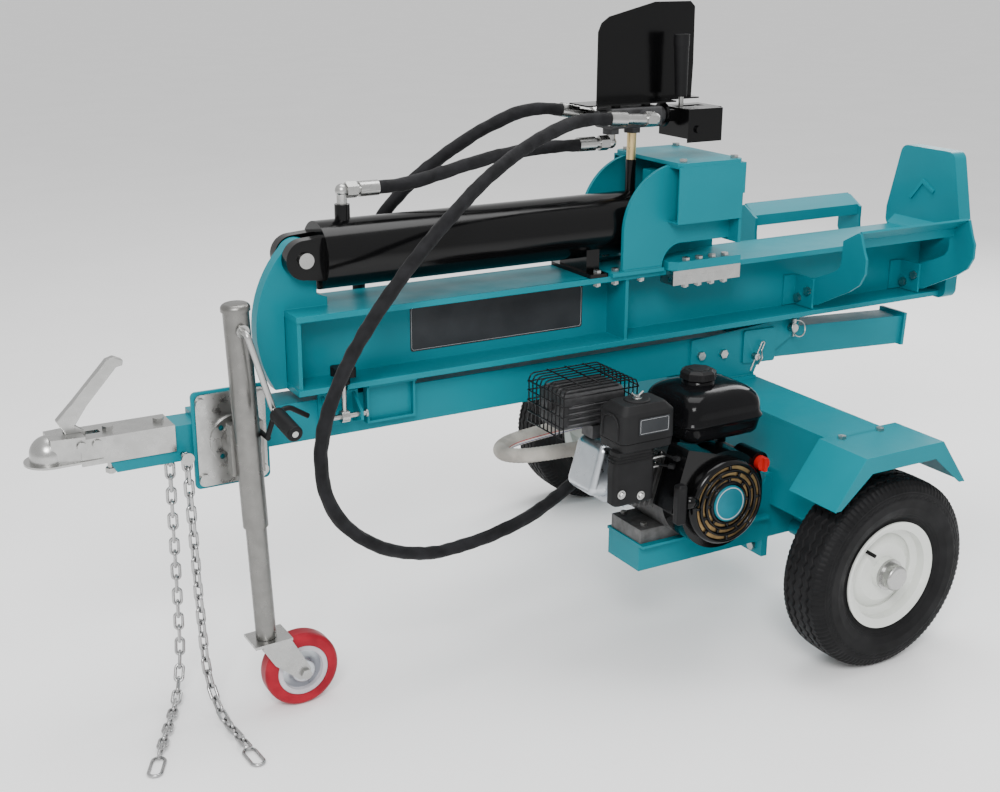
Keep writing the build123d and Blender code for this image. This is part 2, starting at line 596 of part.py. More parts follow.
def jack_inner():
    """Sliding inner tube with its thrust nut at the top and the caster's swivel hole at the foot."""
    tube = rod_z(0, 0, JACK_FOOT, INNER_TOP, 20) - rod_z(0, 0, JACK_FOOT + 8, INNER_TOP + 1, 17)
    tube -= rod_z(0, 0, JACK_FOOT - 1, JACK_FOOT + 9, 8.05)
    nut = rod_z(0, 0, INNER_TOP - 20, INNER_TOP, 17.5) - rod_z(0, 0, INNER_TOP - 21, INNER_TOP + 1, 8.06)
    return lean(tube + nut)


def jack_screw():
    """Lead screw hanging from the bevel gear inside the outer tube."""
    return lean(rod_z(0, 0, -400, -60, 8) + rod_z(0, 0, -62, -46, 18))


def wheel_drop():
    """Height of the caster wheel's axle in the jack's own frame, for a wheel that stands on the floor."""
    a = math.radians(JACK_LEAN)
    return (CASTER_R - JACK_TOP[1] - TRAIL * math.sin(a)) / math.cos(a)


def caster_fork():
    """Swivel fork under the jack: top plate, kingpin, two cheeks and the wheel's bolt."""
    z, axle = JACK_FOOT, wheel_drop()
    shape = block(-34, 42, -33, 33, z - 6, z - 0.3) + rod_z(0, 0, z - 6, z + 7, 8)
    outline = [(-22, z - 6), (40, z - 6), (TRAIL + 12, axle + 8), (TRAIL + 8, axle - 12), (TRAIL - 12, axle - 12),
               (2, z - 50)]
    for y in (-33, 28):
        shape += plate(outline, "y", y, y + 5, 4)
    return lean(shape - rod_y(TRAIL, axle, -40, 40, 6.0))


def caster_wheel():
    """Polyurethane tyre on a plastic core."""
    z = wheel_drop()
    tread = rod_y(TRAIL, z, -22, 22, CASTER_R)
    tread = fillet(tread.edges().filter_by(GeomType.CIRCLE), 12) - rod_y(TRAIL, z, -30, 30, 52)
    core = rod_y(TRAIL, z, -20, 20, 52) - rod_y(TRAIL, z, -30, -10, 42) - rod_y(TRAIL, z, 10, 30, 42)
    core += rod_y(TRAIL, z, -25, 25, 14)
    return [lean(tread), lean(core - rod_y(TRAIL, z, -30, 30, 6.05))]


def caster_axle():
    z = wheel_drop()
    shape = rod_y(TRAIL, z, -34, 34, 6)
    for y in (-37, 37):
        shape += Pos(TRAIL, y, z) * Rot(90, 0, 0) * extrude(RegularPolygon(11, 6), 3.9, both=True)
    return lean(shape)


def plunger_place():
    a = math.radians(45)
    return SWIVEL[0] + 40 * math.cos(a), SWIVEL[1] + 40 * math.sin(a)


def jack_plunger():
    """Locking pin of the swivel, drawn out, with its bent handle."""
    x, z = plunger_place()
    pin = rod_y(x, z, -152, -64, PLUNGER_R)
    line = FilletPolyline((x, -148, z), (x + 14, -152, z + 44), (x + 44, -146, z + 52), (x + 84, -140, z + 26),
                          radius=[16, 24])
    return pin + sweep(Plane(origin=(x, -148, z), z_dir=(14, -4, 44)) * Circle(5), path=line)


# ---------------------------------------------------------------- engine and pump
def engine_mount():
    """Folded channel under the engine, with the flange that is bolted to the tank."""
    x0, x1 = -432.0, TANK_X0 - 16
    shape = block(x0 - 4, x1 + 1, -320, -190, MOUNT_TOP - 6, MOUNT_TOP)
    shape += block(x0, x1 + 1, -302, -296, SUMP_Z0 + 2, MOUNT_TOP - 5)
    shape += block(x0, x1 + 1, -196, -190, SUMP_Z0 + 2, MOUNT_TOP - 5)
    shape += block(x0, x0 + 6, -302, -190, SUMP_Z0 + 2, MOUNT_TOP - 5)
    shape += block(x1, x1 + 8, -300, -88, 158, 352)
    shape += plate([(x1 + 1, MOUNT_TOP - 1), (x1 + 1, 345), (x1 - 55, MOUNT_TOP - 1)], "y", -302, -296)
    for y, z in MOUNT_BOLTS:
        shape -= rod_x(y, z, x1 - 5, x1 + 12, 6.2)
    for x, y in ENGINE_BOLTS:
        shape -= rod_z(x, y, 240, 270, 4.4)
    return shape


def tank_flange():
    """Flange welded on the tank's front wall that the engine mount is bolted to."""
    shape = block(TANK_X0 - 8, TANK_X0 + 0.5, -300, -88, 158, 352)
    shape -= block(TANK_X0 - 0.1, TANK_X0 + 2, -310, -80, 150, SUMP_Z0)
    for y, z in MOUNT_BOLTS:
        shape -= rod_x(y, z, TANK_X0 - 10, TANK_X0 - 0.2, 6.2)
    return shape


def along_cylinder(shape):
    """Turns a part drawn along -X from the crank axis into line with the engine's cylinder."""
    return Pos(ENGINE_X, 0, ENGINE_Z) * Rot(0, CYL_ANGLE, 0) * shape


def engine_block():
    """Crankcase with its base flange and finned cylinder, hollow for the crank."""
    case = block(-385, -212, BLOCK_Y0, BLOCK_Y1, 290, 452)
    case = fillet(case.edges().filter_by(Axis.Y), 22)
    base = block(-432, -184, -306, -200, MOUNT_TOP, 292)
    barrel = along_cylinder(block(-160, -40, HEAD_Y - 50, HEAD_Y + 50, -45, 45))
    shape = case + base + barrel
    for k in range(6):
        shape += along_cylinder(block(-158 + 12 * k, -154 + 12 * k, HEAD_Y - 60, HEAD_Y + 60, -56, 56))
    shape -= rod_y(ENGINE_X, ENGINE_Z, BLOCK_Y0 + 14, BLOCK_Y1 - 14, 64)
    shape -= rod_y(ENGINE_X, ENGINE_Z, BLOCK_Y0 - 1, BLOCK_Y1 + 1, 12.55)
    shape -= along_cylinder(rod_x(HEAD_Y, 0, -161, -30, 34))
    for x, y in ENGINE_BOLTS:
        shape -= rod_z(x, y, 240, 300, 4.4)
    return [shape, cylinder_head(), valve_cover()]


def cylinder_head():
    head = along_cylinder(block(-205, -160, HEAD_Y - 55, HEAD_Y + 55, -55, 60))
    for k in range(3):
        head += along_cylinder(block(-198 + 14 * k, -194 + 14 * k, HEAD_Y - 62, HEAD_Y + 62, -62, 66))
    return head


def valve_cover():
    cover = block(-250, -205, HEAD_Y - 48, HEAD_Y + 48, -52, 56)
    cover = fillet(cover.edges().filter_by(Axis.X), 18)
    cover = fillet(cover.edges().group_by(Axis.X)[0], 14)
    rim_plate = block(-210, -205, HEAD_Y - 56, HEAD_Y + 56, -60, 64)
    rim_plate = fillet(rim_plate.edges().filter_by(Axis.X), 16)
    return along_cylinder(cover + rim_plate)


def crankshaft():
    """Crankshaft with webs and crankpin, flywheel and the coupling half of the pump."""
    shape = rod_y(ENGINE_X, ENGINE_Z, -388, -128, 12.5)
    for y in (-290, -225):
        shape += rod_y(ENGINE_X, ENGINE_Z, y, y + 16, 44)
    shape += rod_y(ENGINE_X + 26, ENGINE_Z, -280, -220, 13)
    shape += rod_y(ENGINE_X, ENGINE_Z, -384, -346, 84)
    return shape + rod_y(ENGINE_X, ENGINE_Z, -148, -128, 27)


def fan_cover():
    """Black shroud around the flywheel, open at the back, with a duct towards the cylinder."""
    y0, y1 = -398.0, BLOCK_Y0
    drum = rod_y(ENGINE_X, ENGINE_Z, y0, y1, 104)
    duct = along_cylinder(block(-120, -10, y0, y1, -40, 92))
    shape = drum + duct + rod_y(SWITCH[0], SWITCH[1], y0, y1, 22)
    shape -= rod_y(ENGINE_X, ENGINE_Z, y0 + 3, y1 + 1, 100)
    shape -= along_cylinder(block(-116, -10, y0 + 3, y1 + 1, -36, 88))
    shape -= rod_y(SWITCH[0], SWITCH[1], y0 - 1, y0 + 16, 5.05)
    return shape - rod_y(ENGINE_X, ENGINE_Z, y0 - 5, y0 + 10, 72)


def recoil_cover():
    """Recoil starter housing on the fan cover: domed, slotted, with a hollow for the pulley."""
    y0, y1 = -424.0, -398.0
    dome = rod_y(ENGINE_X, ENGINE_Z, y0, y1, 90)
    dome = fillet(dome.edges().group_by(Axis.Y)[0], 10)
    dome -= rod_y(ENGINE_X, ENGINE_Z, y0 + 3, y1 + 1, 84)
    for radius, slots in ((76, 12), (58, 12)):
        for k in range(slots):
            a = math.radians(360 * k / slots)
            x, z = ENGINE_X + radius * math.cos(a), ENGINE_Z + radius * math.sin(a)
            cut = Pos(x, y0, z) * Rot(0, -math.degrees(a), 0) * Box(6, 16, 22)
            dome -= cut
    dome += rod_y(ENGINE_X, ENGINE_Z, y0 + 2, y1 - 6, 7)
    guide = plate([(-380, 372), (-406, 374), (-406, 398), (-378, 400)], "y", y0 + 4, y1)
    return dome + guide - rod_x(-413, 386, -420, -375, 3)


def recoil_pulley():
    """Rope pulley of the recoil starter, turning on the cover's post."""
    y0 = -418.0
    pulley = rod_y(ENGINE_X, ENGINE_Z, y0, y0 + 12, 46) - rod_y(ENGINE_X, ENGINE_Z, y0 - 1, y0 + 13, 7.05)
    return pulley - (rod_y(ENGINE_X, ENGINE_Z, y0 + 3, y0 + 9, 50) - rod_y(ENGINE_X, ENGINE_Z, y0 + 2, y0 + 10, 38))


def pull_handle():
    """Starter grip against the rope guide."""
    grip = Pos(-417.5, -413, 386) * Box(22, 22, 84)
    return fillet(grip.edges(), 6)


def fuel_tank():
    shell = block(-379, -189, -385, -213, 488, 592)
    shell = fillet(shell.edges().filter_by(Axis.Z), 26)
    shell = fillet(shell.edges().group_by(Axis.Z)[-1], 20)
    hollow = block(-376, -192, -382, -216, 491, 588)
    hollow = fillet(hollow.edges().filter_by(Axis.Z), 24)
    hollow = fillet(hollow.edges().group_by(Axis.Z)[-1], 18)
    seam = block(-384, -184, -390, -208, 525, 530)
    seam = fillet(seam.edges().filter_by(Axis.Z), 30)
    shape = shell + seam - hollow
    for x in (-350, -230):
        shape += rod_z(x, -300, 452, 488, 9)
    shape += rod_z(FUEL_CAP[0], FUEL_CAP[1], 588, 600, 24)
    return shape - rod_z(FUEL_CAP[0], FUEL_CAP[1], 580, 602, 20)


def fuel_cap():
    x, y = FUEL_CAP
    cap = rod_z(x, y, 600, 620, 38)
    cap = chamfer(cap.edges().group_by(Axis.Z)[-1], 5)
    return cap + rod_z(x, y, 590, 600, 19.5)


def air_cleaner():
    """Filter box over the carburettor, with its elbow cover in front."""
    box = block(-536, -410, -378, -290, 497, 590)
    box = fillet(box.edges().filter_by(Axis.Z), 12)
    box = chamfer(box.edges().group_by(Axis.Z)[-1], 10)
    inner = block(-532, -414, -374, -294, 501, 570)
    neck = block(-548, -450, -372, -340, 388, 497)
    neck = fillet(neck.edges().filter_by(Axis.Y), 10)
    wing = rod_z(-474, -334, 589, 600, 6) + block(-488, -460, -336, -332, 594, 606)
    return [box - inner + neck + wing, carburettor()]


def carburettor():
    """Carburettor between the filter's neck and the engine's inlet, with its float bowl."""
    body = block(-500, -455, -340, -312, 420, 462) + rod_z(-478, -326, 392, 421, 13)
    return body - rod_y(-478, 442, -341, -300, 9)


def small_lever(x, y, z, length, angle):
    """Flat lever on a vertical pin, pointing along -Y turned by angle."""
    arm = Box(7, length, 2.5)
    arm = Pos(0, -length / 2, 0) * arm + Cylinder(7, 2.5) - Cylinder(2.55, 4)
    tip = Pos(0, -length, 1) * Box(10, 12, 8)
    return Pos(x, y, z) * Rot(0, 0, angle) * (arm + tip)


def throttle_lever():
    return small_lever(*THROTTLE, 42, 8)


def choke_lever():
    return small_lever(*CHOKE, 36, 30)


def lever_posts():
    """Fixed pins and small brackets that the choke and throttle levers turn on."""
    x, y, z = CHOKE
    choke = block(-449.9, x + 5, y - 6, y + 6, z - 6, z - 2.5) + rod_z(x, y, z - 4, z + 4, 2.5)
    x, y, z = THROTTLE
    throttle = block(-449.9, x + 5, y - 6, y + 6, z - 6, z - 2.5) + rod_z(x, y, z - 4, z + 4, 2.5)
    return [choke, throttle]


def engine_switch():
    """Red rotary stop switch on the fan cover's upper right."""
    x, z = SWITCH
    knob = rod_y(x, z, -412, -398.3, 15) + block(x - 4, x + 4, -419, -411, z - 14, z + 14)
    return knob + rod_y(x, z, -399, -386, 5)


def muffler():
    body = block(-590, -448, -252, -158, 515, 592)
    body = fillet(body.edges().filter_by(Axis.X), 16)
    shape = body + block(-520, -490, -250, -210, 489, 516) + rod_x(-205, 560, -603, -589, 10)
    return [shape, muffler_guard()]


def muffler_guard():
    """Slotted cage around the muffler, open below."""
    x0, x1, y0, y1, z0, z1 = -606.0, -426.0, -276.0, -136.0, 506.0, 614.0
    wall = 2.5
    cage = block(x0, x1, y0, y1, z0, z1) - block(x0 + wall, x1 - wall, y0 + wall, y1 - wall, z0 - 1, z1 - wall)
    for k in range(7):
        x = x0 + 10 + k * 23.5
        cage -= block(x, x + 16, y0 + 12, y1 - 12, z1 - 5, z1 + 5)
        cage -= block(x, x + 16, y0 - 5, y1 + 5, z0 + 14, z1 - 14)
    for k in range(5):
        y = y0 + 10 + k * 25
        cage -= block(x0 - 5, x1 + 5, y, y + 18, z0 + 14, z1 - 14)
    return cage + block(-540, -480, y0 + 2, -251, z0, z0 + 3)


def pump_adapter():
    """Bell housing between engine and pump."""
    x, z = ENGINE_X, ENGINE_Z
    return rod_y(x, z, BLOCK_Y1, -118, 62) - rod_y(x, z, BLOCK_Y1 - 1, -117, 34)


def hydraulic_pump():
    """Two-stage gear pump with side ports, the pressure port's hose end and the bell housing."""
    x, z = ENGINE_X, ENGINE_Z
    body = block(x - 44, x + 44, -118, -50, z - 56, z + 56)
    body = fillet(body.edges().filter_by(Axis.Y), 14)
    for px, py, pz in (PUMP_SUCTION, PUMP_PRESSURE):
        body += rod_x(py, pz, px, x - 40, 19)
    body -= rod_y(x, z, -119, -100, 20)
    return [body, pump_adapter(), hose_end((PUMP_PRESSURE[0], PUMP_PRESSURE[1], PUMP_PRESSURE[2]), (-1, 0, 0), 46)]


# ---------------------------------------------------------------- beam and cylinder
def beam():
    x0, x1 = BEAM_X0, PLATE_X
    shape = block(x0, x1, -BEAM_HALF_WIDTH, BEAM_HALF_WIDTH, BEAM_TOP - FLANGE, BEAM_TOP)
    shape += block(x0, x1, -BEAM_HALF_WIDTH, BEAM_HALF_WIDTH, BEAM_BOTTOM, BEAM_BOTTOM + FLANGE)
    shape += block(x0, x1, -WEB / 2, WEB / 2, BEAM_BOTTOM + FLANGE, BEAM_TOP - FLANGE)
    for x in (x0, -330):
        for side in (-1, 1):
            y0, y1 = sorted((side * WEB / 2, side * (BEAM_HALF_WIDTH - 4)))
            shape += block(x + 2, x + 10, y0, y1, BEAM_BOTTOM + FLANGE, BEAM_TOP - FLANGE)
    for x, y in STRIP_BOLTS:
        for side in (-1, 1):
            shape -= rod_z(x, side * y, BEAM_TOP - 20, BEAM_TOP + 5, 5.2)
    for y in (-66, 66):
        shape -= rod_z(SADDLE_BOLT_X, y, 740, BEAM_TOP + 5, 5.2)
    shape -= block(LATCH_X - 7, LATCH_X + 7, -90, LATCH_Y + 7, 600, KNOB_Z + 1)
    for x in CRADLE_X:
        bracket = cradle_bracket(x)
        shape += bracket + mirror(bracket, Plane.XZ)
    return shape + cylinder_anchor()


def end_plate():
    """Heavy foot plate welded across the beam's end, with a grip ridge on its face."""
    z0 = BEAM_BOTTOM - 6
    outline = [(-98, z0), (98, z0), (98, 740), (121, 772), (121, 806), (84, 966), (-84, 966), (-121, 806),
               (-121, 772), (-98, 740)]
    shape = plate(outline, "x", PLATE_X, REAR_X, 22)
    ridge = plate([(-34, 868), (5, 892), (44, 842), (38, 838), (5, 880), (-30, 860)], "x", PLATE_X - 4, PLATE_X + 1)
    toe = plate([(PLATE_X - 26, BEAM_TOP), (PLATE_X + 1, BEAM_TOP), (PLATE_X + 1, BEAM_TOP + 20)], "y", -90, 90)
    return shape + ridge + toe


def cylinder_anchor():
    """Plate on the beam's front end that carries the cylinder's pin."""
    x1 = BEAM_X0 + 1
    line = Polyline((x1, -15, BEAM_BOTTOM), (-1098, -15, BEAM_BOTTOM))
    line += ThreePointArc((-1098, -15, BEAM_BOTTOM), (-1130, -15, 755), (-1070, -15, 888))
    line += ThreePointArc((-1070, -15, 888), (-1036, -15, 905), (-1006, -15, 880))
    line += Polyline((-1006, -15, 880), (-1006, -15, 796), (-985, -15, 788), (-985, -15, BEAM_TOP - 1),
                     (x1, -15, BEAM_TOP - 1), (x1, -15, BEAM_BOTTOM))
    shape = extrude(make_face(line.edges()), 30, dir=(0, 1, 0))
    return shape - rod_y(PIN_X, 870, -40, 40, 15.05)


def cylinder_barrel():
    """Cylinder tube with end cap, clevis ears, both port bosses and the saddle foot."""
    tube = rod_x(0, CYL_Z, CYL_X0, CYL_X1, CYL_R) - rod_x(0, CYL_Z, CYL_X0 + 44, CYL_X1 + 1, CYL_BORE_R)
    shape = tube
    for side in (-1, 1):
        y0, y1 = sorted((side * 17, side * 43))
        ear = plate([(-1038, CYL_Z - 36), (CYL_X0 + 20, CYL_Z - 44), (CYL_X0 + 20, CYL_Z + 44), (-1038, CYL_Z + 40)],
                    "y", y0, y1)
        shape += ear + rod_y(PIN_X, 870, y0, y1, 38)
    shape -= rod_y(PIN_X, 870, -60, 60, 15.05)
    shape += rod_z(-942, 0, CYL_Z + 50, BASE_PORT_Z, 15) + rod_z(PORT_B_X, 0, CYL_Z + 50, 1001, 11)
    shape -= rod_x(0, CYL_Z, CYL_X0 + 44, CYL_X1 + 1, CYL_BORE_R)
    return [shape, cylinder_gland(), cylinder_saddle()]


def cylinder_gland():
    """Gland ring in the tube's open end that the rod runs through."""
    ring = rod_x(0, CYL_Z, CYL_X1 - 30, CYL_X1, CYL_BORE_R - 0.02)
    return ring - rod_x(0, CYL_Z, CYL_X1 - 40, CYL_X1 + 10, ROD_R + 0.05)


def cylinder_saddle():
    """Black saddle bolted on the flange that carries the cylinder's rod end."""
    x0, x1 = SADDLE_BOLT_X - 24, SADDLE_BOLT_X + 20
    shape = block(x0, x1, -78, 78, BEAM_TOP, BEAM_TOP + 8)
    shape += block(x0 + 6, x1 - 6, -52, 52, BEAM_TOP + 8, CYL_Z - 30)
    shape -= rod_x(0, CYL_Z, -440, -330, CYL_R + 0.02)
    for y in (-66, 66):
        shape -= Pos(SADDLE_BOLT_X, y, BEAM_TOP) * Cylinder(5.2, 60)
    return shape


def cylinder_pin():
    shape = rod_y(PIN_X, 870, -50, 58, 15)
    return shape - Pos(PIN_X, 52, 870) * Cylinder(2.2, 60)


def beam_pins():
    """Cylinder pin with its wire ring, and the tilt pin with its lynch pin."""
    return [cylinder_pin(), pin_ring(), tilt_pin(), lynch_pin()]


def pin_ring():
    """Sprung wire ring through the pin's far end."""
    cross = rod_z(PIN_X, 52, 850, 892, 2)
    return cross + Pos(PIN_X, 60, 871) * Rot(78, 0, 0) * Torus(18, 1.6)


def piston():
    disc = rod_x(0, CYL_Z, CYL_X0 + 46, CYL_X0 + 92, CYL_BORE_R - 0.05)
    for k in range(3):
        x = CYL_X0 + 52 + 14 * k
        disc -= rod_x(0, CYL_Z, x, x + 6, 60) - rod_x(0, CYL_Z, x - 1, x + 7, CYL_BORE_R - 4)
    return disc


def piston_seals():
    rings = []
    for k in range(3):
        x = CYL_X0 + 52 + 14 * k
        rings.append(rod_x(0, CYL_Z, x, x + 6, CYL_BORE_R - 0.03) - rod_x(0, CYL_Z, x - 1, x + 7, CYL_BORE_R - 4))
    return rings


def piston_rod():
    """Piston with its seal rings and the chromed rod up to the wedge."""
    return [piston() + rod_x(0, CYL_Z, CYL_X0 + 91, WEDGE_X0, ROD_R)] + piston_seals()


def wedge():
    """Splitting knife with its sliding base, back plate and side wings."""
    x0, x1 = WEDGE_X0, WEDGE_X1
    slide = BEAM_TOP + 0.1
    base = plate([(x0, -GUIDE_Y + 14), (x0 + 14, -GUIDE_Y), (x1, -GUIDE_Y), (x1, GUIDE_Y), (x0 + 14, GUIDE_Y),
                  (x0, GUIDE_Y - 14)], "z", slide, 791)
    knife = plate([(x0, -14), (x1 - 70, -14), (x1 + 3, -1.2), (x1 + 3, 1.2), (x1 - 70, 14), (x0, 14)], "z", 790, 976)
    back = block(x0, x0 + 16, -WEDGE_HALF, WEDGE_HALF, 790, 930)
    wings = []
    for side in (-1, 1):
        edge = side * WEDGE_HALF
        wings.append(plate([(x0, side * 13), (x0 + 90, side * 13), (x0 + 30, edge), (x0, edge)], "z", 790, 880))
    shape = base + knife + back + wings[0] + wings[1]
    for x in WEDGE_BOLT_X:
        for side in (-1, 1):
            shape -= rod_z(x, side * 94, 760, 800, 5.2)
    return shape


def wedge_guides():
    """Spacer and keeper bars on both sides that hold the wedge to the flange, with their bolts."""
    bars = []
    x0, x1 = WEDGE_X0 + 4, WEDGE_X1
    for side in (-1, 1):
        for z0, z1, inner in ((759.5, BEAM_TOP + 0.1, 79.6), (741.0, 759.4, 60.0)):
            y0, y1 = sorted((side * inner, side * GUIDE_Y))
            bar = block(x0, x1, y0, y1, z0, z1)
            for x in WEDGE_BOLT_X:
                bar -= rod_z(x, side * 94, 730, 800, 5.2)
            bars.append(bar)
    return bars + wedge_fasteners()


def stripper_side():
    """Near stripper plate: quarter-round front, foot on the flange, arch over the slide, strap to the rear."""
    y0 = -STRIP_Y1
    line = Polyline((-344, y0, 779), (-344, y0, 860))
    line += ThreePointArc((-344, y0, 860), (-312, y0, 950), (-235, y0, STRIP_TOP))
    line += Polyline((-235, y0, STRIP_TOP), (-67, y0, STRIP_TOP), (-67, y0, 828), (-190, y0, 828))
    line += ThreePointArc((-190, y0, 828), (-228, y0, 815), (-243, y0, 779))
    line += Polyline((-243, y0, 779), (-344, y0, 779))
    return extrude(make_face(line.edges()), STRIP_Y1 - STRIP_Y0, dir=(0, 1, 0))


def stripper_foot():
    """Near foot strip bolted on the flange under the side plate."""
    shape = block(-372, -240, -90, -54, BEAM_TOP, 780)
    for x, y in STRIP_BOLTS:
        shape -= rod_z(x, -y, 760, 800, 5.2)
    return shape


def stripper_guard():
    """Near folded guard: outer face with flanges back to the side plate, and the rear stripping plate."""
    x0, x1, y0, y1 = -233.0, -58.0, -122.0, -STRIP_Y1
    outer = block(x0, x1, y0, y0 + 4, 876, STRIP_TOP) - block(x1 - 6, x1 + 1, y0 - 1, y0 + 5, 870, 930)
    shape = outer + block(x0, x1, y0, y1 + 1, STRIP_TOP - 4, STRIP_TOP) + block(x0, x1 - 6, y0, y1 + 1, 876, 880)
    for x in TOP_BOLT_X:
        shape -= rod_z(x, -TOP_BOLT_Y, STRIP_TOP - 10, STRIP_TOP + 5, 5.2)
    return shape


def stripper_face():
    """Near rear plate that pulls the log off the knife."""
    inner = -WEDGE_HALF - 4
    return plate([(-118, 822), (-118, STRIP_TOP - 1), (inner, STRIP_TOP - 1), (inner, 822)], "x", -67.5, -59.5)


def stripper_top():
    """Top plate that ties both sides and covers the guards."""
    outline = [(-232, -112), (-222, -122), (-74, -122), (-64, -112), (-64, 112), (-74, 122), (-222, 122), (-232, 112)]
    shape = plate(outline, "z", STRIP_TOP, STRIP_TOP + 8)
    for x in TOP_BOLT_X:
        for y in (-TOP_BOLT_Y, TOP_BOLT_Y):
            shape -= rod_z(x, y, STRIP_TOP - 5, STRIP_TOP + 12, 5.2)
    return shape


def stripper():
    """Both stripper weldments and the bolted top plate."""
    side = stripper_side() + stripper_foot() + stripper_guard() + stripper_face()
    return mirrored(side) + [stripper_top()]


def cradle(x_left, x_right):
    """Near log cradle: two hooked arms and the folded tray bar that joins their tips."""
    arm = [(-34, 628), (-80, 640), (-182, 693), (-212, 714), (-227, 742), (-227, 775), (-219, 790), (-204, 829),
           (-196, 829), (-152, 804), (-152, 768), (-150, 748), (-140, 734), (-113, 720), (-40, 690), (-22, 684),
           (-22, 634)]
    shape = None
    for x in (x_left, x_right):
        one = plate(arm, "x", x, x + 7)
        for y, z in CRADLE_BOLTS:
            one -= rod_x(y, z, x - 5, x + 12, 6.2)
        shape = one if shape is None else shape + one
    tray = plate([(-204, 829), (-200, 833), (-161, 809), (-158, 784), (-163, 784), (-165, 804)], "x",
                 x_left + 6, x_right + 1)
    return shape + tray


def cradle_bracket(x):
    """Near angle bracket between the web and a cradle arm."""
    shape = block(x - 6, x, -72, -WEB / 2 + 1, 629, 700) + block(x - 40, x, -WEB / 2 - 6, -WEB / 2 + 1, 629, 700)
    for y, z in CRADLE_BOLTS:
        shape -= rod_x(y, z, x - 12, x + 2, 6.2)
    return shape


def rear_arm():
    """Square tube with a foot plate that hangs under the beam behind the tilt pin."""
    length = ARM_X1 - ARM_X0
    place = Pos(ARM_X0, 0, ARM_FRONT_TOP) * Rot(0, ARM_LEAN, 0)
    tube = block(0, length, -35, 35, -70, 0) - block(4, length + 1, -31, 31, -66, -4)
    shape = place * (tube + block(length - 1, length + 8, -43, 43, -73, 8))
    inside = place * block(4, length, -31, 31, -66, -4)
    for y in (-34, 22):
        lug = plate([(140, 560), (196, 560), (206, BEAM_BOTTOM), (130, BEAM_BOTTOM)], "y", y, y + 12)
        shape += lug - inside
    return shape - rod_y(TILT_X, TILT_Z, -60, 60, 10.0)


def tilt_pin():
    shape = rod_y(TILT_X, TILT_Z, -62, 54, 10) + rod_y(TILT_X, TILT_Z, 46.2, 54, 16)
    return shape - Pos(TILT_X, -56, TILT_Z) * Cylinder(3.2, 40)


def lynch_pin():
    """Lynch pin through the tilt pin's end, with its sprung ring."""
    stem = rod_z(TILT_X, -56, TILT_Z - 20, TILT_Z + 16, 3.1) + rod_z(TILT_X, -56, TILT_Z + 12, TILT_Z + 22, 6)
    ring = Pos(TILT_X + 8, -65, TILT_Z) * Rot(72, 0, 0) * Torus(19, 1.7)
    return stem + ring


# ---------------------------------------------------------------- control valve
def valve_body():
    """Spool valve block with hexagonal port bosses underneath and at the sides."""
    shape = block(-345, -218, -30, 30, VALVE_Z0, VALVE_Z1)
    shape = fillet(shape.edges().filter_by(Axis.X), 5)
    shape += rod_x(0, SPOOL_Z, -218, -196, 19) + rod_x(0, SPOOL_Z, -362, -345, 17)
    for x in (PORT_A_X, PORT_B_X):
        shape += Pos(x, 0, VALVE_Z0 - 6) * extrude(RegularPolygon(19, 6), 6, both=True)
        shape -= rod_z(x, 0, VALVE_Z0 - 20, VALVE_Z0 + 8, 7)
    shape += rod_y(-262, SPOOL_Z, -46, -28, 18) + rod_y(-320, SPOOL_Z, 28, 42, 18)
    return shape - rod_x(0, SPOOL_Z, -340, -190, 8.05)


def valve_spool():
    x = LEVER_PIVOT[0]
    return rod_x(0, SPOOL_Z, -332, x - 28, 8) + block(x - 30, x - 8, -4, 4, SPOOL_Z - 2.5, SPOOL_Z + 2.5)


def valve_fittings():
    """Riser pipe, elbows and hose ends between the valve and the cylinder."""
    riser = rod_z(PORT_B_X, 0, 1001, VALVE_Z0 - 12, 10) - rod_z(PORT_B_X, 0, 1000, VALVE_Z0, 6)
    work = rod_z(PORT_A_X, 0, 1040, VALVE_Z0 - 12, 10) + Pos(PORT_A_X, 0, 1040) * Sphere(13)
    work += hose_end((PORT_A_X - 8, 0, 1040), (-1, 0, 0), PORT_A_X - 8 - HOSE_B_BACK)
    base = rod_z(-942, 0, BASE_PORT_Z, 988, 10) + Pos(-942, 0, 988) * Sphere(13)
    base += hose_end((-934, 0, 988), (1, 0, 0), HOSE_B_FRONT + 934)
    items = [riser, work, base]
    for port_x, y, y_port, end in ((-262, PRESSURE_END[1], -46, PRESSURE_END), (-320, RETURN_END[1], 42, RETURN_END)):
        start = Vector(port_x, y, SPOOL_Z)
        line = Vector(*end) - start
        y0, y1 = sorted((y_port, y))
        items.append(rod_y(port_x, SPOOL_Z, y0, y1, 12) + Pos(port_x, y, SPOOL_Z) * Sphere(14)
                     + hose_end(start, line, line.length))
    return items


def hose_end(start, direction, length):
    """Hex nut and crimped ferrule in line, ending where the hose's own tube begins."""
    place = Plane(origin=Vector(*start), z_dir=Vector(*direction))
    shape = extrude(place * RegularPolygon(HOSE_R + 3, 6), 22) + extrude(place * Circle(HOSE_R - 2), length)
    return shape + extrude(place.offset(length - 40) * Circle(HOSE_R + 2), 40)


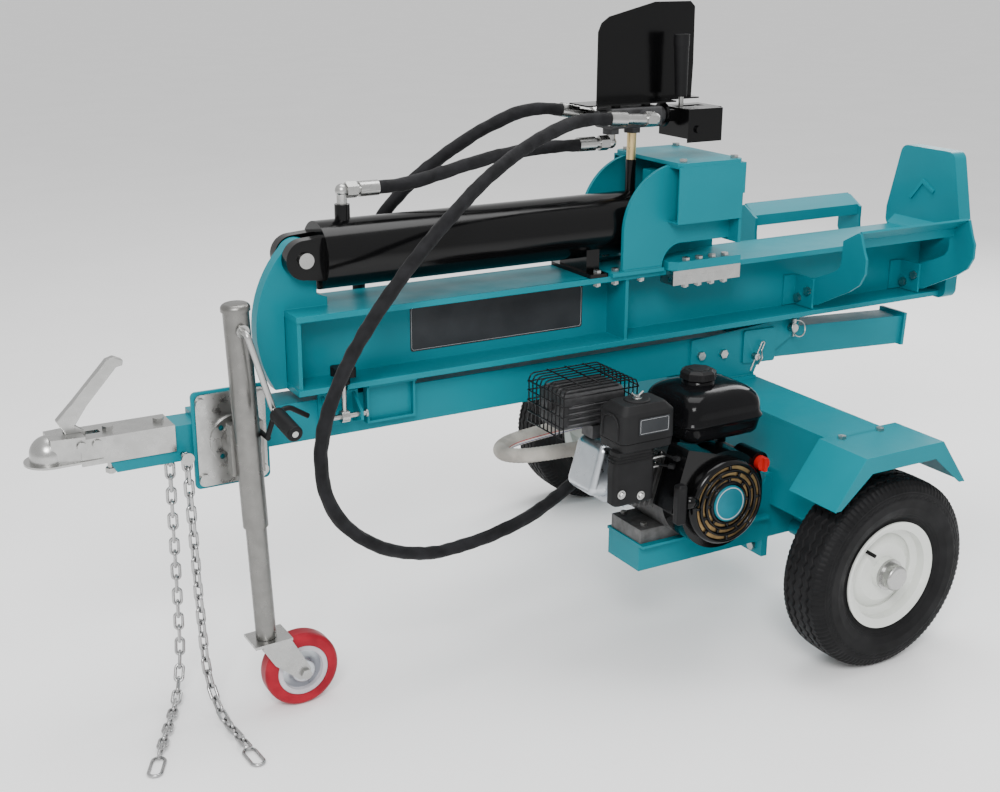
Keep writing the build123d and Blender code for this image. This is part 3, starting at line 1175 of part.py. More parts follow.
def valve_bracket():
    """Folded black bracket that carries the lever's pivot, with its pin and the screen behind the lever."""
    x0, x1, y0, y1 = -172.0, -82.0, -62.0, 42.0
    z0, z1 = 1036.0, 1106.0
    shape = block(x0, x0 + 3, y0, y1, z0 + 8, z1) + block(x0, x1, y0, y0 + 3, z0, z1)
    shape += block(x0, x1, y1 - 3, y1, z0 + 20, z1)
    shape += block(x0, x1, y0, y1, z1 - 3, z1) + block(x1 - 1, x1 + 12, y0 + 20, y1, z1 - 3, z1)
    shape += block(x1 + 9, x1 + 12, y0 + 20, y1, z1 - 22, z1)
    shape -= block(x0 + 8, x1 - 10, -12, 12, z1 - 5, z1 + 2)
    for y in (-29, 20):
        shape += block(-194, x0 + 1, y, y + 9, SPOOL_Z - 12, SPOOL_Z + 12)
    shape += rod_x(0, SPOOL_Z, -200, -193, 26)
    shape -= rod_x(0, SPOOL_Z, -204, -190, 19.02) + rod_x(0, SPOOL_Z, x0 - 5, x0 + 8, 12)
    return [shape - rod_y(LEVER_PIVOT[0], LEVER_PIVOT[1], -80, 80, 4.05), lever_pin(), valve_shield()]


def lever_pin():
    x, z = LEVER_PIVOT
    return rod_y(x, z, -66, 46, 4) + rod_y(x, z, -68, -62, 8)


def control_lever():
    """Steel lever on its pivot with the black grip."""
    x, z = LEVER_PIVOT
    stem = rod_between((x, 0, z), (x - 6.5, 0, z + 184), 6) + rod_y(x, z, -9, 9, 12)
    return [stem - rod_y(x, z, -20, 20, 4.05), lever_grip()]


def lever_grip():
    x, z = LEVER_PIVOT
    foot = Vector(x - 6.5 * 64 / 184, 0, z + 64)
    axis = Plane(origin=foot, z_dir=Vector(-6.5, 0, 184))
    body = loft([axis * Circle(13), axis.offset(105) * Circle(16)]) + extrude(axis.offset(105) * Circle(17), 24)
    return body - extrude(axis.offset(-1) * Circle(6.05), 122)


def valve_shield():
    """Upright black screen behind the lever, with a creased wing and a foot flange on the valve."""
    y = 46.0
    outline = [(-333, 1118), (-333, 1262), (-325, 1280), (-306, 1293), (-190, 1321), (-98, 1321), (-86, 1310),
               (-84, 1190), (-86, 1118)]
    screen = plate(outline, "y", y, y + 3)
    foot = block(-400, -84, -22, y + 3, VALVE_Z1 + 6, VALVE_Z1 + 9)
    foot -= block(-176, -80, -24, 20, VALVE_Z1, VALVE_Z1 + 20)
    shape = screen + foot
    for x in (-316, -240):
        shape += rod_z(x, 0, VALVE_Z1, VALVE_Z1 + 6.5, 10)
    return shape


# ---------------------------------------------------------------- fasteners
def beam_fasteners():
    items = []
    for x, y in STRIP_BOLTS:
        items += mirrored(bolt(x, -y, BEAM_TOP - FLANGE, 780, 5))
    for y in (-66, 66):
        items.append(bolt(SADDLE_BOLT_X, y, BEAM_TOP - FLANGE, BEAM_TOP + 8, 5))
    for x in TOP_BOLT_X:
        items += mirrored(bolt(x, -TOP_BOLT_Y, STRIP_TOP - 4, STRIP_TOP + 8, 5))
    for x in CRADLE_X:
        for y, z in CRADLE_BOLTS:
            items += mirrored(bolt_x(y, z, x - 6, x + 7, 6))
    return items


def wedge_fasteners():
    items = []
    for x in WEDGE_BOLT_X:
        items += mirrored(bolt(x, -94, 741, 791, 5))
    return items


def chassis_fasteners():
    """Bolts of the chassis, the coupler's pins, the latch's cross pin and the axle nuts."""
    y = PIVOT_PLATE_Y + 2 + PIVOT_PLATE_T
    items = [bolt_y(x, z, -y, y, 6) for x, z in PIVOT_BOLTS]
    items += [bolt(x, 0, DRAW_Z0, 587, 6) for x in COUPLER_BOLT_X]
    x, z = CHAIN_BOLT
    items.append(rod_y(x, z, -62, 62, 4) + rod_y(x, z, -68, -62, 12) + rod_y(x, z, 62, 68, 12))
    items += [rod_y(x, z, -57, -40.2, 5.5) + rod_y(x, z, -57, -51, 10) for x, z in JACK_CORNER_BOLTS]
    for y, z in MOUNT_BOLTS:
        items.append(rod_x(y, z, TANK_X0 - 24, TANK_X0 - 0.5, 6) + rod_x(y, z, TANK_X0 - 24, TANK_X0 - 16, 10))
    items += [bolt(x, y, MOUNT_TOP - 6, 292, 4.2) for x, y in ENGINE_BOLTS]
    for x in FENDER_BOLT_X:
        items += mirrored(bolt(x, -FENDER_BOLT_Y, TANK_TOP - 6, TANK_TOP + 3, 5))
    return items + coupler_pin() + mirrored(axle_nut()) + [latch_pin()] + lever_posts()


# ---------------------------------------------------------------- hoses
def hoses():
    """The suction hose, the hose to the cylinder's base, the pressure hose and the return hose."""
    x, y, z = PUMP_SUCTION
    hose("suction_hose", [(x, y, z), (x - 56, y, z), (x - 118, y - 4, z + 7), (-534, -90, 409),
                          (-584, -72, 406), (-606, -36, 403), (-590, 4, 402), (-546, 32, 402), (-484, 40, 404),
                          (-410, 34, 412), (-332, 14, 424), (-246, -22, 434), (-160, SUCTION_Y, SUCTION_Z),
                          (TANK_X0 - 16, SUCTION_Y, SUCTION_Z)], SUCTION_R)
    hose("cylinder_hose", [(HOSE_B_BACK, 0, 1040), (-480, 0, 1040), (-580, -3, 1035), (-690, 3, 1014),
                           (-795, 0, 988), (HOSE_B_FRONT, 0, 988)], HOSE_R)
    x, y, z = PRESSURE_END
    hose("pressure_hose", [PRESSURE_END, (x - 64, y, z + 4), (-545, -86, 1078), (-660, -112, 1030), (-790, -138, 940),
                           (-915, -160, 826), (-1012, -172, 710), (-1072, -178, 590), (-1082, -180, 478),
                           (-1040, -178, 380), (-950, -172, 308), (-840, -164, 272), (-720, -154, 276),
                           (-600, -140, 294), (-500, -112, 322), (-436, PUMP_PRESSURE[1], PUMP_PRESSURE[2]),
                           (PUMP_PRESSURE[0] - 46, PUMP_PRESSURE[1], PUMP_PRESSURE[2])], HOSE_R)
    x, y, z = RETURN_END
    fx, fy = RETURN_PORT
    rise = (z - SPOOL_Z) / (x + 320)
    hose("return_hose", [RETURN_END, (x - 70, y, z - 70 * rise), (-600, 74, 1074), (-710, 96, 1004), (-798, 116, 922),
                         (-852, 128, 826), (-854, 136, 726), (-800, 144, 642), (-706, 150, 592), (-580, 156, 574),
                         (-440, 162, 566), (-310, 170, 548), (-214, fy, 512), (-150, fy, TANK_TOP + 20),
                         (fx - 60, fy, TANK_TOP + 20)], HOSE_R)


# ---------------------------------------------------------------- write every node
def main():
    """Writes one file for each node."""
    for name, parts in (("tyre", [tyre()]), ("rim", [rim(), hub_cap(), valve_stem()] + bearings())):
        save(name + "_near", parts)
        save(name + "_far", [mirror(part, Plane.XZ) for part in parts])
    save("pivot_plates", mirrored(pivot_plate() + pivot_cheek()))
    save("fenders", mirrored(fender()))
    save("stop_pin", [stop_pin(), stop_clip()])
    save("log_cradles", mirrored(cradle(*CRADLE_X)))
    save("caster_fork", [caster_fork(), caster_axle()])
    save("jack_outer", [jack_outer(), jack_cap()])
    save("jack_crank", [jack_crank(), jack_grip()])
    for make in (drawbar, latch_eyebolt, latch_knob, jack_mount, jack_inner, jack_screw, caster_wheel, jack_plunger,
                 hydraulic_tank, tank_cap, engine_mount, coupler_housing, coupler_lever, coupler_clamp,
                 safety_chains, chassis_fasteners, engine_block, crankshaft, fan_cover, recoil_cover, recoil_pulley,
                 pull_handle, fuel_tank, fuel_cap, air_cleaner, throttle_lever, choke_lever, engine_switch, muffler,
                 hydraulic_pump, beam, end_plate, cylinder_barrel, beam_pins, piston_rod, wedge, wedge_guides,
                 stripper, rear_arm, valve_body, valve_spool, valve_fittings, valve_bracket, control_lever,
                 beam_fasteners):
        save(make.__name__, make())
    hoses()


main()
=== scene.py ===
"""Looks of the tow-behind log splitter: camera, hoses, then materials and detailed pieces over the frame."""
import math

import bmesh
import bpy
from mathutils import Matrix, Vector, noise


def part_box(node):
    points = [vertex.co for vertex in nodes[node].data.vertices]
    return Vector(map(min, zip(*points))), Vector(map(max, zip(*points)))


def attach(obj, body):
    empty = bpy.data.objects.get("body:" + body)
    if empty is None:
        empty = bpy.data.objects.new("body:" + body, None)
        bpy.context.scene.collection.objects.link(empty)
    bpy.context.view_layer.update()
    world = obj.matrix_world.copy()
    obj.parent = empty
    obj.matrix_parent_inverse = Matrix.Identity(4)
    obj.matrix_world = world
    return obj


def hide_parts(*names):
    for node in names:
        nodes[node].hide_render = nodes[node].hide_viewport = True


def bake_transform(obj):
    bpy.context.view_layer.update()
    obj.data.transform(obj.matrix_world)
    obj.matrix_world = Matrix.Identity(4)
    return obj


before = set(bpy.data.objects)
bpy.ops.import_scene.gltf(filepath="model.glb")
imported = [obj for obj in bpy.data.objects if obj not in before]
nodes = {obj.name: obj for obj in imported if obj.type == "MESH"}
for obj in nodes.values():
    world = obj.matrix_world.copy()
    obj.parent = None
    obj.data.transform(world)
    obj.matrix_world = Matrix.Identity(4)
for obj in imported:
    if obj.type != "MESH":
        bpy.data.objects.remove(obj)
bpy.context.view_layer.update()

SHIFT = 0.4645          # row X of the wheel axle
HOSE_R = 0.013
SUCTION_R = 0.016
TEAL = (0.0015, 0.165, 0.205)


def at(x, y, z):
    """A place given in millimetres from the wheel axle, in the row frame in metres."""
    return Vector((x / 1000 + SHIFT, y / 1000, z / 1000))


# ---------------------------------------------------------------- camera
def camera():
    data = bpy.data.cameras.new("camera")
    data.lens = 50.57
    data.sensor_width = 36
    cam = bpy.data.objects.new("camera", data)
    turn = Matrix.Rotation(math.radians(-29.88), 4, "Z") @ Matrix.Rotation(math.radians(90 - 18.04), 4, "X")
    roll = Matrix.Rotation(math.radians(0.31), 4, "Z")
    cam.matrix_world = Matrix.Translation((-1.54225, -2.46355, 1.446)) @ turn @ roll
    bpy.context.scene.collection.objects.link(cam)
    bpy.context.scene.camera = cam


camera()


# ---------------------------------------------------------------- mesh helpers
def piece(name, mesh, body, *materials):
    """A new object on a body, with its materials; without a body it is left free."""
    obj = bpy.data.objects.new(name, mesh)
    bpy.context.scene.collection.objects.link(obj)
    for material in materials:
        obj.data.materials.append(material)
    if body:
        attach(obj, body)
    return obj


def mesh_of(name, points, faces, smooth=True):
    mesh = bpy.data.meshes.new(name)
    mesh.from_pydata([tuple(p) for p in points], [], faces)
    if smooth:
        mesh.polygons.foreach_set("use_smooth", [True] * len(mesh.polygons))
    mesh.update()
    return mesh


def join_lists(parts):
    """Several (points, faces) lists as one."""
    points, faces = [], []
    for more_points, more_faces in parts:
        start = len(points)
        points += more_points
        faces += [tuple(i + start for i in face) for face in more_faces]
    return points, faces


def tube(path, radius, sides=12, closed=False, caps=True):
    """Round tube along points; radius is a number or a function of (place along in metres, angle)."""
    count = len(path)
    steps = [(path[(i + 1) % count] - path[i]).normalized() for i in range(count if closed else count - 1)]
    along, total = [0.0], 0.0
    for i in range(1, count):
        total += (path[i] - path[i - 1]).length
        along.append(total)
    side = steps[0].orthogonal().normalized()
    points, faces = [], []
    for i, centre in enumerate(path):
        if closed:
            way = (steps[i - 1] + steps[i]).normalized()
        elif i == 0 or i == count - 1:
            way = steps[min(i, count - 2)]
        else:
            way = (steps[i - 1] + steps[i]).normalized()
        side = (side - way * side.dot(way)).normalized()
        other = way.cross(side)
        for k in range(sides):
            a = 2 * math.pi * k / sides
            r = radius(along[i], a) if callable(radius) else radius
            points.append(centre + side * (r * math.cos(a)) + other * (r * math.sin(a)))
    rings = count if closed else count - 1
    for i in range(rings):
        for k in range(sides):
            n = (k + 1) % sides
            j = (i + 1) % count
            faces.append((i * sides + k, i * sides + n, j * sides + n, j * sides + k))
    if caps and not closed:
        faces.append(tuple(reversed(range(sides))))
        faces.append(tuple(range((count - 1) * sides, count * sides)))
    return points, faces


def lathe(profile, centre, axis, sides=64):
    """Surface of revolution from (place along the axis, radius) points; returns points and faces."""
    axis = Vector(axis).normalized()
    side = axis.orthogonal().normalized()
    other = axis.cross(side)
    points, faces = [], []
    for k in range(sides):
        a = 2 * math.pi * k / sides
        out = side * math.cos(a) + other * math.sin(a)
        points += [centre + axis * s + out * r for s, r in profile]
    n = len(profile)
    for k in range(sides):
        j = (k + 1) % sides
        for i in range(n - 1):
            faces.append((k * n + i, j * n + i, j * n + i + 1, k * n + i + 1))
    return points, faces


def soften(obj, width=0.0012, segments=2):
    """Rounds an object's hard edges without touching its mesh."""
    weld = obj.modifiers.new("weld", "WELD")
    weld.merge_threshold = 0.00002
    bevel = obj.modifiers.new("bevel", "BEVEL")
    bevel.width = width
    bevel.segments = segments
    bevel.limit_method = "ANGLE"
    bevel.angle_limit = math.radians(38)
    bevel.harden_normals = False
    normals = obj.modifiers.new("normals", "WEIGHTED_NORMAL")
    normals.keep_sharp = True
    return obj


# ---------------------------------------------------------------- materials
class Look:
    """A procedural material under construction: a Principled shader with noise-driven inputs."""

    def __init__(self, name, color, rough, metallic=0.0):
        self.material = bpy.data.materials.new(name)
        self.material.use_nodes = True
        self.tree = self.material.node_tree
        self.shader = self.tree.nodes["Principled BSDF"]
        self.shader.inputs["Base Color"].default_value = (*color, 1)
        self.shader.inputs["Roughness"].default_value = rough
        self.shader.inputs["Metallic"].default_value = metallic
        self.shader.inputs["Specular IOR Level"].default_value = 0.5 if metallic else 0.12
        self.place = self.tree.nodes.new("ShaderNodeTexCoord").outputs["Object"]
        self.normal = None

    def node(self, kind, **inputs):
        made = self.tree.nodes.new(kind)
        for key, value in inputs.items():
            made.inputs[key.replace("_", " ")].default_value = value
        return made

    def link(self, a, b):
        self.tree.links.new(a, b)

    def noise(self, scale, detail=4.0, stretch=None):
        made = self.node("ShaderNodeTexNoise", Scale=scale, Detail=detail)
        place = self.place
        if stretch:
            mapping = self.tree.nodes.new("ShaderNodeMapping")
            mapping.inputs["Scale"].default_value = stretch
            self.link(place, mapping.inputs["Vector"])
            place = mapping.outputs["Vector"]
        self.link(place, made.inputs["Vector"])
        return made.outputs["Fac"]

    def spread(self, source, low, high, source_low=0.3, source_high=0.7):
        made = self.node("ShaderNodeMapRange")
        made.inputs["From Min"].default_value = source_low
        made.inputs["From Max"].default_value = source_high
        made.inputs["To Min"].default_value = low
        made.inputs["To Max"].default_value = high
        self.link(source, made.inputs["Value"])
        return made.outputs["Result"]

    def tint(self, source, color_a, color_b, source_low=0.35, source_high=0.65):
        mix = self.tree.nodes.new("ShaderNodeMix")
        mix.data_type = "RGBA"
        mix.inputs[6].default_value = (*color_a, 1)
        mix.inputs[7].default_value = (*color_b, 1)
        self.link(self.spread(source, 0, 1, source_low, source_high), mix.inputs[0])
        self.link(mix.outputs[2], self.shader.inputs["Base Color"])
        return mix.outputs[2]

    def rough(self, source, low, high):
        self.link(self.spread(source, low, high), self.shader.inputs["Roughness"])

    def bump(self, source, strength, distance):
        made = self.node("ShaderNodeBump", Strength=strength, Distance=distance)
        self.link(source, made.inputs["Height"])
        if self.normal:
            self.link(self.normal, made.inputs["Normal"])
        self.normal = made.outputs["Normal"]
        self.link(self.normal, self.shader.inputs["Normal"])

    def coat(self, weight, rough=0.08):
        self.shader.inputs["Coat Weight"].default_value = weight
        self.shader.inputs["Coat Roughness"].default_value = rough

    def painted_edge_highlight(self, base, color, amount=0.55):
        """Painted highlight: paint coloured lighter along convex edges, where light would catch them."""
        geometry = self.tree.nodes.new("ShaderNodeNewGeometry")
        mix = self.tree.nodes.new("ShaderNodeMix")
        mix.data_type = "RGBA"
        mix.inputs[7].default_value = (*color, 1)
        self.link(base, mix.inputs[6])
        # painted highlight: mask of the convex edges that get the lighter colour
        highlight_mask = self.spread(geometry.outputs["Pointiness"], 0, amount, 0.54, 0.62)
        self.link(highlight_mask, mix.inputs[0])
        self.link(mix.outputs[2], self.shader.inputs["Base Color"])


def shade(color, factor):
    return tuple(min(1.0, c * factor) for c in color)


def powder_paint(name, color, rough=0.36, coat=0.02):
    """Powder coat: slight orange peel, faint mottling and a painted highlight of lighter paint along convex
    edges.
    """
    look = Look(name, color, rough)
    base = look.tint(look.noise(3.5), shade(color, 0.93), shade(color, 1.07))
    # painted highlight: convex edges coloured 1.35 times lighter than the paint
    look.painted_edge_highlight(base, shade(color, 1.35), 0.35)
    look.rough(look.noise(14), rough - 0.05, rough + 0.07)
    look.bump(look.noise(420, 2), 0.10, 0.0004)
    look.bump(look.noise(1500, 2), 0.05, 0.0001)
    look.coat(coat, 0.18)
    return look.material


def zinc_plate(name, color=(0.60, 0.59, 0.57), rough=0.30, spangle=0.10):
    """Bright zinc plating with cloudy passivation and fine scratches."""
    look = Look(name, color, rough, 1.0)
    look.tint(look.noise(38, 6), shade(color, 1 - spangle), shade(color, 1 + spangle))
    look.rough(look.noise(60, 6), rough - 0.06, rough + 0.12)
    look.bump(look.noise(700, 4, (1, 1, 0.08)), 0.06, 0.0001)
    return look.material


def moulded(name, color, rough=0.5, grain=900, depth=0.00012):
    """Moulded plastic with a fine leather-like grain."""
    look = Look(name, color, rough)
    look.tint(look.noise(12), shade(color, 0.85), shade(color, 1.2))
    look.rough(look.noise(30), rough - 0.06, rough + 0.08)
    look.bump(look.noise(grain, 3), 0.25, depth)
    return look.material


def rubber(name, color, rough=0.62):
    look = Look(name, color, rough)
    look.tint(look.noise(18, 5), shade(color, 0.8), shade(color, 1.35))
    look.rough(look.noise(40), rough - 0.08, rough + 0.1)
    look.bump(look.noise(600, 4), 0.2, 0.0002)
    return look.material


def cast_metal(name, color, rough=0.5, metallic=0.85):
    """Sand-cast surface: coarse grain and darker and lighter patches at random."""
    look = Look(name, color, rough, metallic)
    look.tint(look.noise(55, 6), shade(color, 0.75), shade(color, 1.15))
    look.rough(look.noise(90), rough - 0.1, rough + 0.12)
    look.bump(look.noise(380, 5), 0.45, 0.0004)
    return look.material


def sleeve(name, color):
    """Woven nylon hose sleeve: crossed fine ribs over a dull black."""
    look = Look(name, color, 0.78)
    look.tint(look.noise(30, 6), shade(color, 0.7), shade(color, 1.6))
    weave = look.node("ShaderNodeTexWave", Scale=260.0, Distortion=1.2)
    weave.bands_direction = "DIAGONAL"
    look.link(look.place, weave.inputs["Vector"])
    look.bump(weave.outputs["Fac"], 0.35, 0.0004)
    look.bump(look.noise(120, 4), 0.3, 0.0008)
    look.shader.inputs["Sheen Weight"].default_value = 0.06
    look.shader.inputs["Sheen Roughness"].default_value = 0.5
    return look.material


M = {
    "teal": powder_paint("teal_paint", TEAL),
    "black_gloss": powder_paint("black_enamel", (0.002, 0.002, 0.0022), 0.14, 0.2),
    "black_satin": powder_paint("black_paint", (0.005, 0.005, 0.0055), 0.32, 0.1),
    "white": powder_paint("rim_enamel", (0.66, 0.68, 0.64), 0.26, 0.5),
    "zinc": zinc_plate("zinc", (0.42, 0.42, 0.41), 0.27, 0.05),
    "zinc_dull": zinc_plate("zinc_tube", (0.20, 0.197, 0.188), 0.30, 0.06),
    "chain": zinc_plate("chain_zinc", (0.40, 0.40, 0.40), 0.22, 0.08),
    "chrome": zinc_plate("hard_chrome", (0.72, 0.72, 0.73), 0.10, 0.02),
    "brass": zinc_plate("yellow_zinc", (0.62, 0.48, 0.24), 0.28, 0.1),
    "cast": cast_metal("cast_aluminium", (0.40, 0.40, 0.40)),
    "iron": cast_metal("cast_iron", (0.05, 0.05, 0.052), 0.5, 0.5),
    "tyre": rubber("tyre_rubber", (0.007, 0.007, 0.0075), 0.55),
    "sleeve": sleeve("hose_sleeve", (0.008, 0.008, 0.009)),
    "suction": rubber("suction_hose_rubber", (0.33, 0.31, 0.28), 0.6),
    "plastic": moulded("black_moulding", (0.008, 0.008, 0.0085), 0.42),
    "plastic_gloss": moulded("gloss_black_moulding", (0.004, 0.004, 0.0045), 0.12, 200, 0.00002),
    "red": moulded("red_moulding", (0.40, 0.012, 0.010), 0.35),
    "tread_red": rubber("red_polyurethane", (0.25, 0.010, 0.020), 0.34),
    "hub_grey": moulded("wheel_core", (0.45, 0.43, 0.46), 0.4),
    "bronze": cast_metal("bronze_mesh", (0.30, 0.20, 0.09), 0.45),
    "label": moulded("label_film", (0.028, 0.030, 0.033), 0.35, 300, 0.00003),
    "label_light": moulded("label_line", (0.42, 0.43, 0.44), 0.35, 300, 0.00003),
    "stripe_red": rubber("hose_stripe_red", (0.34, 0.045, 0.05), 0.5),
    "stripe_blue": rubber("hose_stripe_blue", (0.05, 0.05, 0.20), 0.5),
    "stripe_white": rubber("hose_stripe_white", (0.52, 0.51, 0.48), 0.5),
    "badge": moulded("badge_teal", (0.008, 0.13, 0.17), 0.3, 300, 0.00002),
    "silver": zinc_plate("satin_aluminium", (0.50, 0.53, 0.56), 0.30, 0.04),
    "dark_cast": cast_metal("dark_casting", (0.11, 0.11, 0.11), 0.55, 0.6),
    "weld": powder_paint("weld_bead", shade(TEAL, 0.8), 0.4, 0.2),
    "black_matte": moulded("airbox_moulding", (0.012, 0.012, 0.0125), 0.55, 1100, 0.00016),
}


# ---------------------------------------------------------------- hoses
def route(name, points, per_run=14):
    """Points of the smooth line whose control points are given in millimetres from the wheel axle."""
    data = bpy.data.curves.new(name, "CURVE")
    data.dimensions = "3D"
    data.resolution_u = per_run
    spline = data.splines.new("NURBS")
    spline.points.add(len(points) - 1)
    for target, p in zip(spline.points, points):
        target.co = (*at(*p), 1)
    spline.order_u = 3
    spline.use_endpoint_u = True
    obj = bpy.data.objects.new(name, data)
    bpy.context.scene.collection.objects.link(obj)
    mesh = bpy.data.meshes.new_from_object(obj)
    line = [v.co.copy() for v in mesh.vertices]
    bpy.data.objects.remove(obj)
    bpy.data.meshes.remove(mesh)
    return line


def length_of(line):
    return sum((b - a).length for a, b in zip(line, line[1:]))


def wrinkled(radius):
    """Radius of a loose sleeve: uneven folds across it and lengthwise creases."""
    def at_place(s, a):
        fold = noise.noise(Vector((s * 46, math.cos(a) * 0.9, math.sin(a) * 0.9)))
        crease = noise.noise(Vector((s * 12, math.cos(a) * 2.4 + 7, math.sin(a) * 2.4)))
        return radius * (1.02 + 0.13 * fold + 0.10 * crease)
    return at_place


def ribbed(radius):
    """Radius of a spiral-reinforced suction hose."""
    def at_place(s, a):
        return radius * (0.975 + 0.025 * math.sin(2 * math.pi * s / 0.009 + a))
    return at_place


def hose(name, node, points, radius, surface, materials, body, sides=20, stripes=None):
    """A hose on its route; stripes gives the material slot of each line of faces along it."""
    line = route(name, points)
    even = resample(line, 0.003)
    made = piece(name, mesh_of(name, *tube(even, surface(radius), sides)), body, *materials)
    for index, face in enumerate(made.data.polygons[:(len(even) - 1) * sides]):
        face.material_index = (stripes or {}).get(index % sides, 0)
    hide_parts(node)
    return made


def resample(line, step):
    """The same line with points an even step apart."""
    total = length_of(line)
    count = max(2, round(total / step))
    out, i, start = [], 0, 0.0
    for k in range(count + 1):
        target = total * k / count
        while i < len(line) - 2 and start + (line[i + 1] - line[i]).length < target:
            start += (line[i + 1] - line[i]).length
            i += 1
        span = (line[i + 1] - line[i]).length
        out.append(line[i].lerp(line[i + 1], min(1.0, (target - start) / span)))
    return out


SUCTION = [(-352, -86, 400), (-408, -86, 400), (-470, -90, 407), (-534, -90, 409), (-584, -72, 406),
           (-606, -36, 403), (-590, 4, 402), (-546, 32, 402), (-484, 40, 404), (-410, 34, 412), (-332, 14, 424),
           (-246, -22, 434), (-160, -52, 425), (-101, -52, 425)]
CYLINDER = [(-409, 0, 1040), (-480, 0, 1040), (-580, -3, 1035), (-690, 3, 1014), (-795, 0, 988), (-867, 0, 988)]
PRESSURE = [(-374, -62, 1098), (-438, -62, 1102), (-545, -86, 1078), (-660, -112, 1030), (-790, -138, 940),
            (-915, -160, 826), (-1012, -172, 710), (-1072, -178, 590), (-1082, -180, 478), (-1040, -178, 380),
            (-950, -172, 308), (-840, -164, 272), (-720, -154, 276), (-600, -140, 294), (-500, -112, 322),
            (-436, -86, 344), (-398, -86, 344)]
RETURN = [(-417, 56, 1107), (-487, 56, 1118.5), (-600, 74, 1074), (-710, 96, 1004), (-798, 116, 922),
          (-852, 128, 826), (-854, 136, 726), (-800, 144, 642), (-706, 150, 592), (-580, 156, 574),
          (-440, 162, 566), (-310, 170, 548), (-214, 180, 512), (-150, 180, 500), (-90, 180, 500)]

SUCTION_SIDES = 40
SUCTION_STRIPES = {26: 1, 27: 3, 28: 3, 29: 2}     # side of the tube: material slot
hose("suction_line", "suction_hose", SUCTION, SUCTION_R, ribbed,
     (M["suction"], M["stripe_red"], M["stripe_blue"], M["stripe_white"]), "chassis",
     SUCTION_SIDES, SUCTION_STRIPES)
hose("cylinder_line", "cylinder_hose", CYLINDER, HOSE_R, wrinkled, (M["sleeve"],), "beam")
pressure_line = hose("pressure_line", "pressure_hose", PRESSURE, HOSE_R, wrinkled, (M["sleeve"],), None)
return_line = hose("return_line", "return_hose", RETURN, HOSE_R, wrinkled, (M["sleeve"],), None)
for crossing in (pressure_line, return_line):
    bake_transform(crossing)


# ---------------------------------------------------------------- CAD nodes that keep their shape
FINISH = {
    "teal": ("drawbar", "pivot_plates", "hydraulic_tank", "fenders", "engine_mount", "beam", "end_plate",
             "stripper", "log_cradles", "rear_arm"),
    "black_gloss": ("valve_bracket", "fan_cover"),
    "zinc": ("stop_pin", "latch_eyebolt", "jack_mount", "chassis_fasteners", "coupler_housing", "coupler_lever",
             "coupler_clamp", "caster_fork", "beam_pins", "valve_spool", "wedge_guides", "beam_fasteners"),
    "zinc_dull": ("jack_inner", "jack_screw"),
    "chain": ("safety_chains",),
    "iron": ("crankshaft", "valve_body"),
    "cast": ("hydraulic_pump",),
    "plastic": ("latch_knob", "tank_cap", "jack_plunger", "recoil_pulley", "pull_handle", "throttle_lever",
                "choke_lever"),
    "red": ("engine_switch",),
}
ROUNDED = {"drawbar": 0.003, "fenders": 0.0012, "jack_mount": 0.002, "coupler_housing": 0.0022,
           "coupler_lever": 0.0025, "end_plate": 0.0035, "stripper": 0.002, "safety_chains": 0.0,
           "caster_fork": 0.0014, "pull_handle": 0.0}


def dress(node, material):
    """Gives a CAD node its material and softened edges."""
    obj = nodes[node]
    obj.data.materials.clear()
    obj.data.materials.append(material)
    width = ROUNDED.get(node, 0.0012)
    if width:
        soften(obj, width)


for finish, names in FINISH.items():
    for name in names:
        dress(name, M[finish])


def split_copy(node, body, default, rules, drop=None, width=0.0012):
    """A copy of a CAD node whose separate solids take different materials.

    rules is a list of (test, material); test gets a solid's lowest and highest corners. Solids that pass drop
    are left out, because detailed pieces stand for them.
    """
    mesh = nodes[node].data.copy()
    mesh.materials.clear()
    table = [default] + [material for _, material in rules]
    bm = bmesh.new()
    bm.from_mesh(mesh)
    bmesh.ops.remove_doubles(bm, verts=bm.verts, dist=0.00002)
    todo = set(bm.faces)
    gone = []
    while todo:
        island, stack = [], [todo.pop()]
        while stack:
            face = stack.pop()
            island.append(face)
            for edge in face.edges:
                for near in edge.link_faces:
                    if near in todo:
                        todo.discard(near)
                        stack.append(near)
        corners = [v.co for face in island for v in face.verts]
        low = Vector([min(c[i] for c in corners) for i in range(3)])
        high = Vector([max(c[i] for c in corners) for i in range(3)])
        index = next((i + 1 for i, (test, _) in enumerate(rules) if test(low, high)), 0)
        for face in island:
            face.material_index = index
        if drop and drop(low, high):
            gone += island
    bmesh.ops.delete(bm, geom=gone, context="FACES")
    bm.to_mesh(mesh)
    bm.free()
    made = piece(node + "_finish", mesh, body, *table)
    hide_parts(node)
    return soften(made, width)


split_copy("jack_outer", "jack", M["zinc_dull"], [])
split_copy("jack_crank", "jack_crank", M["zinc"], [(lambda low, high: (high - low).z < 0.06, M["plastic"])])
split_copy("control_lever", "lever", M["zinc"], [(lambda low, high: low.z > 1.1, M["plastic"])])
split_copy("cylinder_barrel", "beam", M["black_gloss"], [(lambda low, high: (high - low).x < 0.04, M["zinc"])])
split_copy("piston_rod", "ram", M["chrome"], [(lambda low, high: (high - low).x < 0.02, M["plastic"])])
split_copy("valve_fittings", "beam", M["zinc"], [(lambda low, high: (high - low).x < 0.022, M["brass"])])
split_copy("engine_block", "chassis", M["dark_cast"],
           [(lambda low, high: high.x < 0.262, M["silver"])], None, 0.002)
split_copy("caster_wheel", "caster_wheel", M["hub_grey"],
           [(lambda low, high: (high - low).z > 0.14, M["tread_red"])])
split_copy("muffler", "chassis", M["iron"], [], lambda low, high: (high - low).x > 0.17)
for side in ("near", "far"):
    split_copy("rim_" + side, "wheel_" + side, M["zinc"],
               [(lambda low, high: (high - low).z > 0.2, M["white"]),
                (lambda low, high: (high - low).x < 0.03, M["plastic"])])
dress("wedge", M["teal"])


